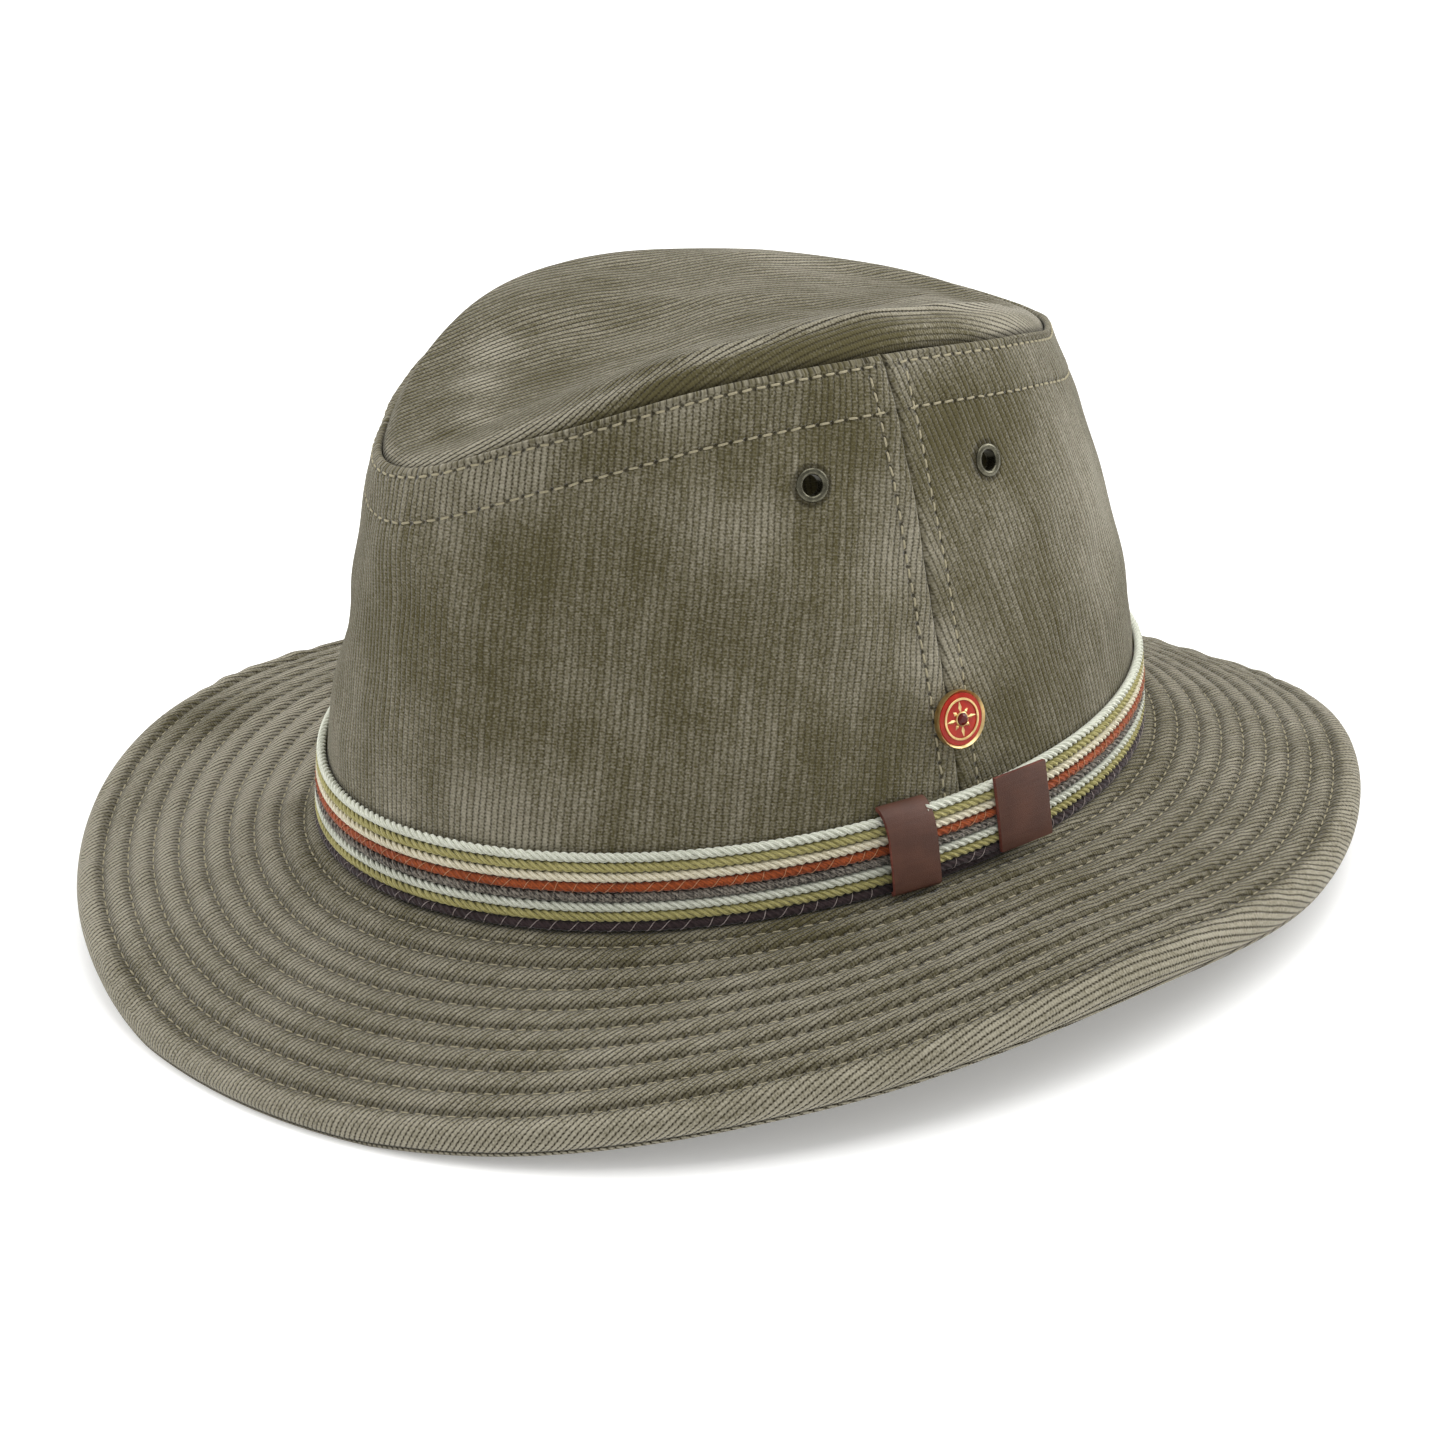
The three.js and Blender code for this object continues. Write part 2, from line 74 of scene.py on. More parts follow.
eye_back = Vector((math.sin(EYE_AZIMUTH) * math.cos(EYE_ELEVATION),
                   -math.cos(EYE_AZIMUTH) * math.cos(EYE_ELEVATION),
                   math.sin(EYE_ELEVATION)))
level = Vector((math.cos(EYE_AZIMUTH), math.sin(EYE_AZIMUTH), 0))
upright = eye_back.cross(level)
eye_right = math.cos(EYE_ROLL) * level + math.sin(EYE_ROLL) * upright
eye_up = eye_back.cross(eye_right)
eye = bpy.data.objects.new("eye", bpy.data.cameras.new("eye"))
bpy.context.scene.collection.objects.link(eye)
eye.matrix_world = Matrix.Translation(EYE_PLACE) @ Matrix(
    (eye_right, eye_up, eye_back)).transposed().to_4x4()
eye.data.lens = LENS
eye.data.clip_end = 40
bpy.context.scene.camera = eye
bpy.context.scene.view_settings.view_transform = "Standard"

SOFTBOXES = (
    # place, size, power
    ((0.1, 0.25, 1.5), 1.3, 15),
    ((-1.3, -0.6, 0.7), 0.9, 12),
    ((0.5, 1.5, 0.8), 0.9, 14),
)
for place, size, power in SOFTBOXES:
    softbox = bpy.data.objects.new("softbox", bpy.data.lights.new("softbox", "AREA"))
    softbox.data.size = size
    softbox.data.energy = power
    softbox.location = place
    softbox.rotation_euler = (Vector(place) - Vector(LIT_PLACE)).to_track_quat("Z", "Y").to_euler()
    bpy.context.scene.collection.objects.link(softbox)

studio = bpy.data.worlds.new("studio")
studio.use_nodes = True
studio.node_tree.nodes["Background"].inputs["Color"].default_value = (1, 1, 1, 1)
studio.node_tree.nodes["Background"].inputs["Strength"].default_value = 0.62
bpy.context.scene.world = studio


class Wire:
    """A socket of a material, which sums are written with and new nodes join on to."""

    def __init__(self, tree, socket=None):
        self.tree = tree
        self.socket = socket

    def node(self, kind, settings=None, values=None, output=0):
        node = self.tree.nodes.new("ShaderNode" + kind)
        for key, setting in (settings or {}).items():
            setattr(node, key, setting)
        for key, value in (values or {}).items():
            if isinstance(value, Wire):
                self.tree.links.new(value.socket, node.inputs[key])
            else:
                node.inputs[key].default_value = value
        return Wire(self.tree, node.outputs[output])

    def sum(self, operation, *values):
        return self.node("Math", {"operation": operation}, dict(enumerate(values)))

    def __add__(self, other):
        return self.sum("ADD", self, other)

    def __sub__(self, other):
        return self.sum("SUBTRACT", self, other)

    def __rsub__(self, other):
        return self.sum("SUBTRACT", other, self)

    def __mul__(self, other):
        return self.sum("MULTIPLY", self, other)

    def __truediv__(self, other):
        return self.sum("DIVIDE", self, other)

    def floor(self):
        return self.sum("FLOOR", self)

    def part(self):
        return self.sum("FRACT", self)

    def sine(self):
        return self.sum("SINE", self)

    def size(self):
        return self.sum("ABSOLUTE", self)

    def over(self, other):
        return self.sum("MAXIMUM", self, other)

    def step(self, low, high):
        """0 below low and 1 above high, or the other way round, and soft between."""
        return self.node("MapRange", {"interpolation_type": "SMOOTHSTEP"},
                         {"Value": self, "From Min": low, "From Max": high})

    def mix(self, without, with_it):
        """The first colour where this is 0 and the second where it is 1."""
        return self.node("Mix", {"data_type": "RGBA"}, {0: self, 6: without, 7: with_it}, 2)

    def place(self):
        """The place on the object, in metres."""
        return self.node("TexCoord", output="Object")

    def pair(self, title):
        """The two numbers that a UV map gives here."""
        both = self.node("UVMap", {"uv_map": title})
        return [self.node("SeparateXYZ", {}, {0: both}, axis) for axis in (0, 1)]

    def join(self, x, y):
        return self.node("CombineXYZ", {}, {0: x, 1: y})

    def stretched(self, scale):
        return self.node("Mapping", {}, {"Vector": self, "Scale": scale})

    def apart(self, centre):
        """How far this place is from a fixed one."""
        return self.node("VectorMath", {"operation": "DISTANCE"}, {0: self, 1: tuple(centre)}, 1)

    def grain(self, size, detail=2, rough=0.5):
        """Noise on this place, with lumps of this size in the place's own units."""
        return self.node("TexNoise", {}, {"Vector": self, "Scale": 1 / size, "Detail": detail,
                                          "Roughness": rough})


def srgb(red, green, blue):
    """A colour as it is seen on a screen, from 0 to 255, as light."""
    return tuple(((v / 255 + 0.055) / 1.055) ** 2.4 for v in (red, green, blue)) + (1,)


def new_finish(name, constants):
    """A material, its shader with the values that are the same all over, and a first wire."""
    finish = bpy.data.materials.new(name)
    finish.use_nodes = True
    shader = finish.node_tree.nodes["Principled BSDF"]
    for key, value in constants.items():
        shader.inputs[key].default_value = value
    return finish, shader, Wire(finish.node_tree)


def feed(shader, socket, wire):
    wire.tree.links.new(wire.socket, shader.inputs[socket])


paper, paper_shader, wire = new_finish("paper", {"Roughness": 0.9, "Emission Strength": 0.25})
feed(paper_shader, "Base Color", wire.place().grain(0.4).mix(srgb(246, 246, 245), srgb(250, 250, 249)))

bpy.ops.object.select_all(action="DESELECT")
bpy.ops.mesh.primitive_plane_add(size=FLOOR_SIZE)
floor = bpy.context.object
floor.name = "floor"
floor.data.materials.append(paper)
floor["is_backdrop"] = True


# THE CROWN'S SIDE
# Two panels of ribbed cotton, cut with their ribs upright at the front and at the back, sewn
# together above each ear. Each seam's allowances are turned away from it and stitched down.
# The top edge is turned over the tip's seam and stitched twice.

HEAD_LENGTH, HEAD_WIDTH, FRONT_NARROWING = 204, 170, 0.03
FOOT_HEIGHT, FOOT_TILT = 27, 1.5
SHIFT = (1.5, 1.4, 0)
STATIONS = {
    "reach": (56.4, 58.5, 57.2, 54.2, 53, 53, 53.5, 52.8, 55.6, 57.2, 61.7, 58.5),
    "drop": (23.4, 21.3, 13.7, 9, 16.3, 15.3, 25.6, 26.2, 21.3, 14.6, 8.5, 13.3),
    "roll": (1, 1, 2, 3.5, 3.5, 1.5, 1, 1, 1.5, 2, 1.5, 1),
    "lean": (13, 21, 27, 26.5, 22, 18.6, 9.8, 12.5, 19.5, 26, 28.8, 20.8),
    "rise": (95.2, 105, 112, 111.5, 104.3, 93.4, 87.2, 91.3, 97.7, 103.5, 104, 95.3),
    "bulge": (2, 2, 3, 3, 3.5, 5.6, 3, 3, 3, 3, 4, 3.3),
    "crest": (0.8, 0.5, 3, 4.5, 4, 2, 0.5, 1.5, 2.8, 3.6, 4.6, 4.6),
    "fold": (10, 11, 11, 11, 11, 11, 11, 11, 9, 7, 6, 6),
}
PINCHES = (
    # angle, height, depth, spread, tallness
    (42, 0.5, 3.5, 17, 0.2),
    (-42, 0.57, 4.4, 17, 0.2),
)
CLOTH, CROWN_RIBS = 1.6, 1.48
LEFT_SEAM, RIGHT_SEAM = 89.5, 270.5
SEAM_DEPTH = 0.9
PANELS = (
    # name, node, first and last angle, seed of its unevenness
    ("side_panel_front", "crown_side_front", RIGHT_SEAM - 360, LEFT_SEAM, 11),
    ("side_panel_back", "crown_side_back", LEFT_SEAM, RIGHT_SEAM, 23),
)
# The rows of stitches: how far from a seam or from the tip, from how high, and how long each is.
SEAM_STITCH, SEAM_STITCH_FROM = 4.8, 12
EDGE_STITCH, SECOND_STITCH = 1.1, 11
CROWN_PITCH = 3.2
EYELETS = (
    # node, angle, height, panel it is in
    ("eyelet_left_front", 73.5, 0.8, 0),
    ("eyelet_left_back", 104.5, 0.775, 1),
    ("eyelet_right_front", -73.5, 0.8, 0),
    ("eyelet_right_back", -104.5, 0.775, 1),
)
EYELET_HOLE, EYELET_RIM = 2.7, 4.2
# What the maps give as the way from a seam on a panel's inner face.
INSIDE = -60
OLIVE_DARK, OLIVE_PALE = srgb(84, 78, 51), srgb(164, 158, 140)
# Painted shade colours: the grooves between the ribs, then needle holes and the hollows of stitched lines
# and seams.
OLIVE_GROOVE_SHADE, OLIVE_HOLLOW_SHADE = srgb(52, 46, 30), srgb(42, 37, 25)


def station(column, angle):
    """A value of the table at any angle, on a smooth closed curve through its twelve rows."""
    row = np.asarray(STATIONS[column], float)
    step = (np.asarray(angle, float) / 30) % 12
    first = np.floor(step).astype(int)
    u = step - first
    a, b, c, d = (row[(first + k) % 12] for k in (-1, 0, 1, 2))
    return 0.5 * (2 * b + (c - a) * u + (2 * a - 5 * b + 4 * c - d) * u ** 2
                  + (3 * b - a - 3 * c + d) * u ** 3)


def stack(x, y, z):
    return np.stack(np.broadcast_arrays(x, y, z), -1)


def foot(angle):
    t = np.radians(angle)
    return stack(HEAD_WIDTH / 2 * (1 - FRONT_NARROWING * np.cos(t)) * np.sin(t),
                 -HEAD_LENGTH / 2 * np.cos(t), FOOT_HEIGHT - FOOT_TILT * np.cos(t))


def outward(angle):
    t = np.radians(angle)
    x = HEAD_LENGTH / 2 * np.sin(t)
    y = -HEAD_WIDTH / 2 * (np.cos(t) - FRONT_NARROWING * np.cos(2 * t))
    return stack(x, y, 0 * t) / np.hypot(x, y)[..., None]


def side(angle, u, proud=0.0):
    """The side's outer face: u runs from the foot, 0, to the tip's seam, 1."""
    angle, u = np.broadcast_arrays(np.asarray(angle, float), np.asarray(u, float))
    out = station("bulge", angle) * 4 * u * (1 - u) + proud - station("lean", angle) * u
    for at, height, depth, spread, tallness in PINCHES:
        aside = ((angle - at + 180) % 360 - 180) / spread
        out = out - depth * np.exp(-aside ** 2 - ((u - height) / tallness) ** 2)
    point = foot(angle) + outward(angle) * out[..., None]
    point[..., 2] += station("rise", angle) * u
    return point


def unit(vectors):
    return vectors / np.linalg.norm(vectors, axis=-1, keepdims=True)


def wall_axes(angle, u):
    """Directions on the side: along the cloth, up the cloth and straight out of it."""
    up = unit(side(angle, u + 0.02) - side(angle, u - 0.02))
    along = side(angle + 0.5, u) - side(angle - 0.5, u)
    along = unit(along - up * np.sum(along * up, -1, keepdims=True))
    return along, up, np.cross(along, up)


def spaced(*stretches):
    """Places one after another: each stretch gives where it ends and about how far apart."""
    places = [stretches[0]]
    for end, apart in stretches[1:]:
        count = max(1, round(abs(end - places[-1]) / apart))
        places.extend(np.linspace(places[-1], end, count + 1)[1:])
    return np.array(places)


def ripple(points, length, seed, waves=7):
    """Soft uneven waves in space, about this long and mostly between -1 and 1."""
    rng = np.random.default_rng(seed)
    total = 0
    for _ in range(waves):
        heading = unit(rng.normal(size=3)) * 2 * math.pi / (length * rng.uniform(0.7, 1.5))
        total = total + np.sin(points @ heading + rng.uniform(0, 2 * math.pi))
    return total / math.sqrt(waves)


def slant(angle):
    """How tall the side is along its cloth."""
    return np.linalg.norm(side(angle, 1) - side(angle, 0), axis=-1)


def running(steps):
    return np.concatenate([[0], np.cumsum(steps)])


def arc_length(points):
    """How far along a row of points each of them lies."""
    return running(np.linalg.norm(np.diff(points, axis=0), axis=1))


def groove(distance, width):
    return np.exp(-(distance / width) ** 2)


def bump(shader, height, distance, strength=1.0):
    """Low relief this deep in metres."""
    feed(shader, "Normal", height.node("Bump", {}, {
        "Strength": strength, "Distance": distance, "Height": height}))


def new_piece(name, points, faces, maps, finish, slot):
    """A mesh from points in millimetres, with a UV pair for each corner of each face."""
    mesh = bpy.data.meshes.new(name)
    mesh.from_pydata(((points + SHIFT) * 0.001).tolist(), [], faces)
    for title, corners in maps.items():
        mesh.uv_layers.new(name=title).data.foreach_set("uv", np.asarray(corners, np.float32).ravel())
    mesh.materials.append(finish)
    mesh.shade_smooth()
    piece = bpy.data.objects.new(name, mesh)
    bpy.context.scene.collection.objects.link(piece)
    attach(piece, "root")
    return piece


def sewn_wall(name, outer, inner, outer_maps, inner_maps, finish, slot, ring, zipped=False):
    """A closed wall of cloth. Outer and inner hold a row of points for each cross-section, and
    their maps the same rows of UV pairs, with one row more than a ring has cross-sections. A
    zipped ring's last points meet across the hat."""
    count, many, few = len(outer), outer.shape[1], inner.shape[1]
    loop = many + few
    points = np.concatenate([outer, inner[:, ::-1]], 1).reshape(-1, 3)
    pairs = {title: np.concatenate([outer_maps[title], inner_maps[title][:, ::-1]], 1)
             for title in outer_maps}
    i, j = np.meshgrid(np.arange(count if ring else count - 1), np.arange(loop), indexing="ij")
    i, j = i.ravel(), j.ravel()
    if zipped:
        i, j = i[j != many - 1], j[j != many - 1]
    k = (j + 1) % loop
    beside = np.stack([i, i + 1, i + 1, i], 1)
    across = np.stack([j, j, k, k], 1)
    faces = (beside % count * loop + across).tolist()
    corners = {title: both[beside, across].reshape(-1, 2) for title, both in pairs.items()}
    if not ring:
        caps = []
        a = b = 0
        while a < many - 1 or b < few - 1:
            climb = b == few - 1 or (a < many - 1 and (a + 1) / many <= (b + 1) / few)
            caps.append((a, loop - 1 - b, a + 1 if climb else loop - 2 - b))
            a, b = (a + 1, b) if climb else (a, b + 1)
        caps = np.array(caps)
        for row, turned in ((count - 1, caps), (0, caps[:, ::-1])):
            faces.extend((turned + row * loop).tolist())
            for title, both in pairs.items():
                corners[title] = np.concatenate([corners[title], both[row][turned].reshape(-1, 2)])
    wall = new_piece(name, points, faces, corners, finish, slot)
    if zipped:
        bpy.ops.object.select_all(action="DESELECT")
        bpy.context.view_layer.objects.active = wall
        bpy.ops.object.mode_set(mode="EDIT")
        bpy.ops.mesh.select_all(action="SELECT")
        bpy.ops.mesh.remove_doubles(threshold=0.00002)
        bpy.ops.object.mode_set(mode="OBJECT")
    return wall


def pricks(run, often, off_line):
    """The needle's holes along a stitched line, this often in one unit of the run, from how
    far off the line in millimetres the place is."""
    ahead = ((run * often).part() - 0.5).size() * 2
    away = (1 - ahead) * 1.6
    return 1 - (away * away + off_line * off_line).step(0.04, 0.26)


def patch(place, centre, size):
    """A soft round patch about a place in millimetres: 1 at its middle and 0 beyond its size."""
    return 1 - place.apart(c * 0.001 for c in centre).step(0, size * 0.001)


def ribbed_cotton(name, pitch, sewing, patches):
    """Washed cotton woven in wide flat ribs with narrow grooves between them, which get painted shade.
    The UV map named cloth gives the places across and along the ribs, and sewing the holes, the hollows
    of the stitched lines, their small puckers, the wear with the painted light and shade on the cloth,
    and how much painted shade the grooves get. Holes and hollows get painted shade too. Patches are paler
    where more dye has washed out, and paler or darker as painted light and shade."""
    finish, shader, wire = new_finish(name, {
        "Roughness": 0.92, "Specular IOR Level": 0.15, "Sheen Weight": 0.22, "Sheen Roughness": 0.27})
    across, along = wire.pair("cloth")
    holes, hollows, puckers, paleness, groove_shade = sewing(wire)
    # The ribs: none runs quite straight, and each has its own luck with the dye.
    wander = wire.join(across * 0.11, along * 0.035).grain(1)
    line = (across + wander * 0.9) / pitch
    luck = wire.node("TexWhiteNoise", {"noise_dimensions": "1D"}, {"W": line.floor()})
    gap = (line + 0.5).floor()
    zigzag = ((along / 1.1 + gap * 0.37).part() - 0.5).size() * 0.24 - 0.06
    dots = (along * (2 * math.pi / 0.9) + gap * 2.3).sine() * 0.28 + 0.72
    valley = (1 - (line - gap + zigzag).size().step(0.05, 0.23)) * dots
    # The yarns: small bars across each rib, lighter and darker threads, and loose fluff.
    bars = (along * (2 * math.pi / 0.68) + luck * 37).sine() * 0.5 + 0.5
    yarn = wire.node("TexWhiteNoise", {"noise_dimensions": "2D"}, {
        "Vector": wire.join((line * 3).floor(), (along / 0.45 + luck * 5).floor())})
    fluff = wire.join(across, along).grain(0.5, 3, 0.65)
    # The wash: cloudy, streaked along the ribs, and paler or darker in the patches, which hold washed-out
    # dye and painted light and shade.
    washed = wire.join(across * 1.4, along).grain(36, 4, 0.55)
    streak = wire.join(line.floor() * 7.7, along / 16).grain(1, 2)
    paleness = paleness + (washed - 0.5) * 0.95 + (streak - 0.5) * 0.55 + (luck - 0.5) * 0.15
    place = wire.place()
    for centre, size, amount in patches:
        paleness = paleness + patch(place, centre, size) * amount
    threads = (bars - 0.5) * 0.2 + (yarn - 0.5) * 0.42 + (fluff - 0.5) * 1.2
    body = (paleness + threads).step(-0.2, 1.2).mix(OLIVE_DARK, OLIVE_PALE)
    # Painted shade darkens the grooves between the ribs, more on paler cloth.
    groove_shaded = (valley * (paleness.over(0) * 0.4 + groove_shade)).mix(body, OLIVE_GROOVE_SHADE)
    # Needle holes and the hollows along stitched lines and seams get painted shade.
    feed(shader, "Base Color", hollows.over(holes * 0.78).mix(groove_shaded, OLIVE_HOLLOW_SHADE))
    spot = line.part() - 0.5
    ribs = 1 - spot * spot * 2 - valley * 0.45 + bars * 0.2 + yarn * 0.2 + fluff * 0.7
    bump(shader, ribs + puckers - holes, 0.00038)
    return finish


# Paler patches of washed-out dye, and painted light and shade where the light on the side falls brighter
# or dimmer.
SIDE_WASH_AND_LIGHTING_PATCHES = (
    # middle, size, how pale
    ((73, -6, 97), 15, 0.42), ((78, -3, 75), 14, 0.36), ((48, -44, 134), 16, 0.38),
    ((56, -40, 114), 22, 0.22), ((36, -87, 46), 26, 0.45), ((18, -85, 112), 10, 0.2),
    ((65, 26, 119), 26, -0.4), ((59, -15, 134), 18, -0.3), ((62, -20, 122), 18, -0.2),
    ((40, -61, 128), 14, -0.2), ((79, -25, 50), 28, -0.2), ((80, 30, 50), 30, -0.25),
    ((46, -64, 92), 32, -0.1), ((-20, -80, 90), 44, -0.2), ((71, 27, 86), 20, -0.12),
    ((31, -77, 106), 18, -0.32), ((27, -77, 124), 16, 0.25), ((63, 11, 124), 16, -0.42),
    ((68, 7, 112), 12, -0.25), ((54, -39, 127), 18, -0.32), ((24, -91, 70), 20, -0.06),
    ((44, -72, 72), 18, -0.1), ((7, -98, 42), 18, 0.35), ((7, -95, 86), 24, -0.25),
    ((62, -40, 90), 20, -0.15), ((80, 18, 60), 16, -0.2), ((66, -6, 122), 10, -0.3),
    ((62, 62, 92), 32, 0.25), ((20, -84, 126), 22, 0.2),
)


def side_sewing(wire):
    """Two rows of stitches below the tip's seam and one each side of the seams at the ears, with painted
    shade in their holes and hollows, a ring of painted shadow round each eyelet and painted shade on the
    panel's inner face.
    """
    from_seam, from_tip = wire.pair("edge")
    along_tip, along_seam = wire.pair("run")
    holes, hollows, puckers = [], [], []
    for run, off in ((along_tip, from_tip - EDGE_STITCH), (along_tip, from_tip - SECOND_STITCH),
                     (along_seam, from_seam - SEAM_STITCH)):
        holes.append(pricks(run, 1 / CROWN_PITCH, off))
        hollows.append(1 - off.size().step(0.15, 0.8))
        around = 1 - off.size().step(0.5, 5)
        puckers.append(around * (run * (2 * math.pi / CROWN_PITCH)).sine() * 0.45)
    holes_and_eyelet_shadows = holes[0].over(holes[1]).over(holes[2])
    wear = (1 - from_tip.step(1, 6)) * 0.06 + (1 - from_seam.step(2, 8)) * 0.04
    # A ring of painted shadow round each eyelet's flange.
    for _, at, height, _ in EYELETS:
        apart = wire.place().apart((side(at, height) + SHIFT) * 0.001)
        holes_and_eyelet_shadows = holes_and_eyelet_shadows.over((1 - (apart - EYELET_RIM * 0.001).size().step(0.0001, 0.0009)) * 0.7)
    # The panel's inner face is painted darker, as shade inside the crown.
    inside = 1 - from_seam.step(INSIDE + 10, INSIDE + 20)
    # The grooves get more painted shade in the band below the tip's seam.
    top = 1 - from_tip.step(9, 13)
    return (holes_and_eyelet_shadows, hollows[0].over(hollows[1]).over(hollows[2]) * 0.2,
            puckers[0] + puckers[1] + puckers[2], wear + 0.31 - inside * 0.6, top * 0.15 + 0.52)


side_cotton = ribbed_cotton("side cotton", CROWN_RIBS, side_sewing, SIDE_WASH_AND_LIGHTING_PATCHES)


def uneven_side(smooth, run, u, tall, from_seam, from_tip, seed):
    """How far the cloth stands out of the side's smooth face: loose swells above the band,
    small pulls along the stitches, and the turned edges, which are thicker up to their row."""
    settled = np.clip((u * tall - 16) / 22, 0, 1)
    swell = settled * (0.7 * ripple(smooth, 52, seed) + 0.3 * ripple(smooth, 19, seed + 1))
    swell = np.where(swell < 0, 0.75 * np.tanh(swell / 0.75), swell)
    pull = ripple(stack(0 * run, run, 0 * run), 7, seed + 2)
    climb = ripple(stack(0 * u, 0 * u, u * tall), 8, seed + 3)
    swell += 0.2 * pull * groove(from_tip - SECOND_STITCH, 6) + 0.12 * climb * groove(from_seam - 4, 6)
    swell += 0.3 / (1 + np.exp((from_tip - SECOND_STITCH) * 3)) * (1 - groove(from_tip, 0.8))
    swell += settled * 0.45 / (1 + np.exp((from_seam - SEAM_STITCH - 0.6) * 2.5))
    swell -= 0.32 * groove(from_tip - SECOND_STITCH, 0.7) + 0.3 * groove(from_tip - EDGE_STITCH, 0.6)
    swell -= settled * 0.3 * groove(from_seam - SEAM_STITCH, 0.7) + SEAM_DEPTH * groove(from_seam, 0.45)
    return swell


def unrolled(columns, foot_run, tip_run, tall):
    """The foot's line once a panel lies flat, and how far the cloth is turned along it. The
    middle of the panel is where its ribs stand upright."""
    turned = running(np.diff(foot_run - tip_run) / tall[1:, 0])
    turned -= np.interp(0.5, columns, turned)
    step, mean = np.diff(foot_run), (turned[1:] + turned[:-1]) / 2
    line = [running(way * step) for way in (np.cos(mean), np.sin(mean))]
    return [(k - np.interp(0.5, columns, k))[:, None] for k in line] + [turned[:, None]]


def side_panel(name, start, end, seed):
    """One panel, about 290 mm long and finest beside its seams and under its top edge. The edge
    turns inwards over the cloth's thickness, and the inner face is plain."""
    columns = spaced(0, (6 / 290, 0.5 / 290), (1 - 6 / 290, 1.5 / 290), (1, 0.5 / 290))
    angle = start + (end - start) * columns[:, None]
    tall = slant(angle)
    top = spaced(0, (14, 0.55))
    rest = spaced(0, (1, 1 / 60))[1:]
    u = np.concatenate([1 - top / tall, (1 - top[-1] / tall) * (1 - rest)], 1)[:, ::-1]
    foot_run, tip_run = (arc_length(side(angle[:, 0], level)) for level in (0, 1))
    run = foot_run[:, None] + (tip_run - foot_run)[:, None] * u
    from_seam = np.minimum(run, run[-1] - run)
    swell = uneven_side(side(angle, u), run, u, tall, from_seam, (1 - u) * tall, seed)
    over = np.radians(np.arange(30, 181, 30))
    lip = side(angle, 1, CLOTH / 2 * (np.cos(over) - 1) - SEAM_DEPTH * groove(from_seam[:, -1:], 0.45))
    lip[..., 2] += CLOTH / 2 * np.sin(over)
    outer = np.concatenate([side(angle, u, swell), lip], 1)
    inner_u = np.linspace(0, 0.985, 26)[None, :]
    flat_x, flat_y, turned = unrolled(columns, foot_run, tip_run, tall)

    def maps(level, lip_count):
        level = np.concatenate([level, np.repeat(level[:, -1:], lip_count, 1)], 1)
        height = level * tall
        length = foot_run[:, None] + (tip_run - foot_run)[:, None] * level
        drop = (1 - level) * tall
        drop[:, level.shape[1] - lip_count:] = -0.3
        flat = (flat_x - height * np.sin(turned), flat_y + height * np.cos(turned))
        runs = np.repeat(tip_run[:, None], level.shape[1], 1), height
        edges = np.minimum(length, length[-1] - length), drop
        return {title: np.stack(pair, -1)
                for title, pair in (("cloth", flat), ("edge", edges), ("run", runs))}

    inner_maps = maps(np.repeat(inner_u, len(columns), 0), 0)
    inner_maps["edge"][:] = INSIDE
    return sewn_wall(name, outer, side(angle, inner_u, -CLOTH), maps(u, len(over)), inner_maps,
                     side_cotton, "cotton", ring=False)


panels = []
for name, node, start, end, seed in PANELS:
    panels.append(side_panel(name, start, end, seed))
    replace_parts(panels[-1], node)


def wall_matrix(angle, u):
    """Where a fitting sits on the side: X along the cloth, Y up it and Z out of it, in metres."""
    along, up, out = wall_axes(angle, u)
    place = Vector((side(angle, u) + SHIFT) * 0.001)
    return Matrix.Translation(place) @ Matrix((along, up, out)).transposed().to_4x4()


for _, at, height, panel in EYELETS:
    bpy.ops.object.select_all(action="DESELECT")
    bpy.ops.mesh.primitive_cylinder_add(vertices=32, radius=EYELET_HOLE * 0.001, depth=0.012)
    cutter = bpy.context.object
    cutter.matrix_world = wall_matrix(at, height)
    bpy.context.view_layer.objects.active = panels[panel]
    cut = panels[panel].modifiers.new("hole", "BOOLEAN")
    cut.operation, cut.solver, cut.object = "DIFFERENCE", "EXACT", cutter
    bpy.ops.object.modifier_apply(modifier=cut.name)
    bpy.data.objects.remove(cutter)


# THE STITCHES
# Lockstitches of a pale tan thread, each a short twisted length that dives into the cloth at
# both ends. One stitch is modelled and laid along every stitched line.

CROWN_THREAD = 0.56
# Parts of a stitch's length: its middle and each end, and how thin the end gets.
STITCH_MIDDLE, STITCH_END, END_THIN = 0.56, 0.22, 0.55


def thread_finish():
    """Two-ply sewing thread, with painted shade at its ends where it dives into the cloth."""
    finish, shader, wire = new_finish("tan thread", {"Roughness": 0.7, "Specular IOR Level": 0.3})
    along, around = wire.pair("thread")
    twist = ((around + along * 4) * (2 * math.pi * 2)).sine() * 0.5 + 0.5
    dive_shade = along.size().step(0.36, 0.5)
    fibre = wire.place().grain(0.0003, 3)
    body = (twist * 0.6 + fibre * 0.4).mix(srgb(138, 129, 102), srgb(196, 187, 158))
    feed(shader, "Base Color", (dive_shade * 0.85).mix(body, srgb(52, 46, 33)))
    bump(shader, twist + fibre, 0.00008)
    return finish


def pick_faces(piece, chosen):
    """In edit mode: selects the faces that a test of middle and normal picks, and no others."""
    bpy.ops.mesh.select_all(action="DESELECT")
    bpy.ops.object.mode_set(mode="OBJECT")
    for face in piece.data.polygons:
        face.select = chosen(face.center, face.normal)
    bpy.ops.object.mode_set(mode="EDIT")


thread = thread_finish()

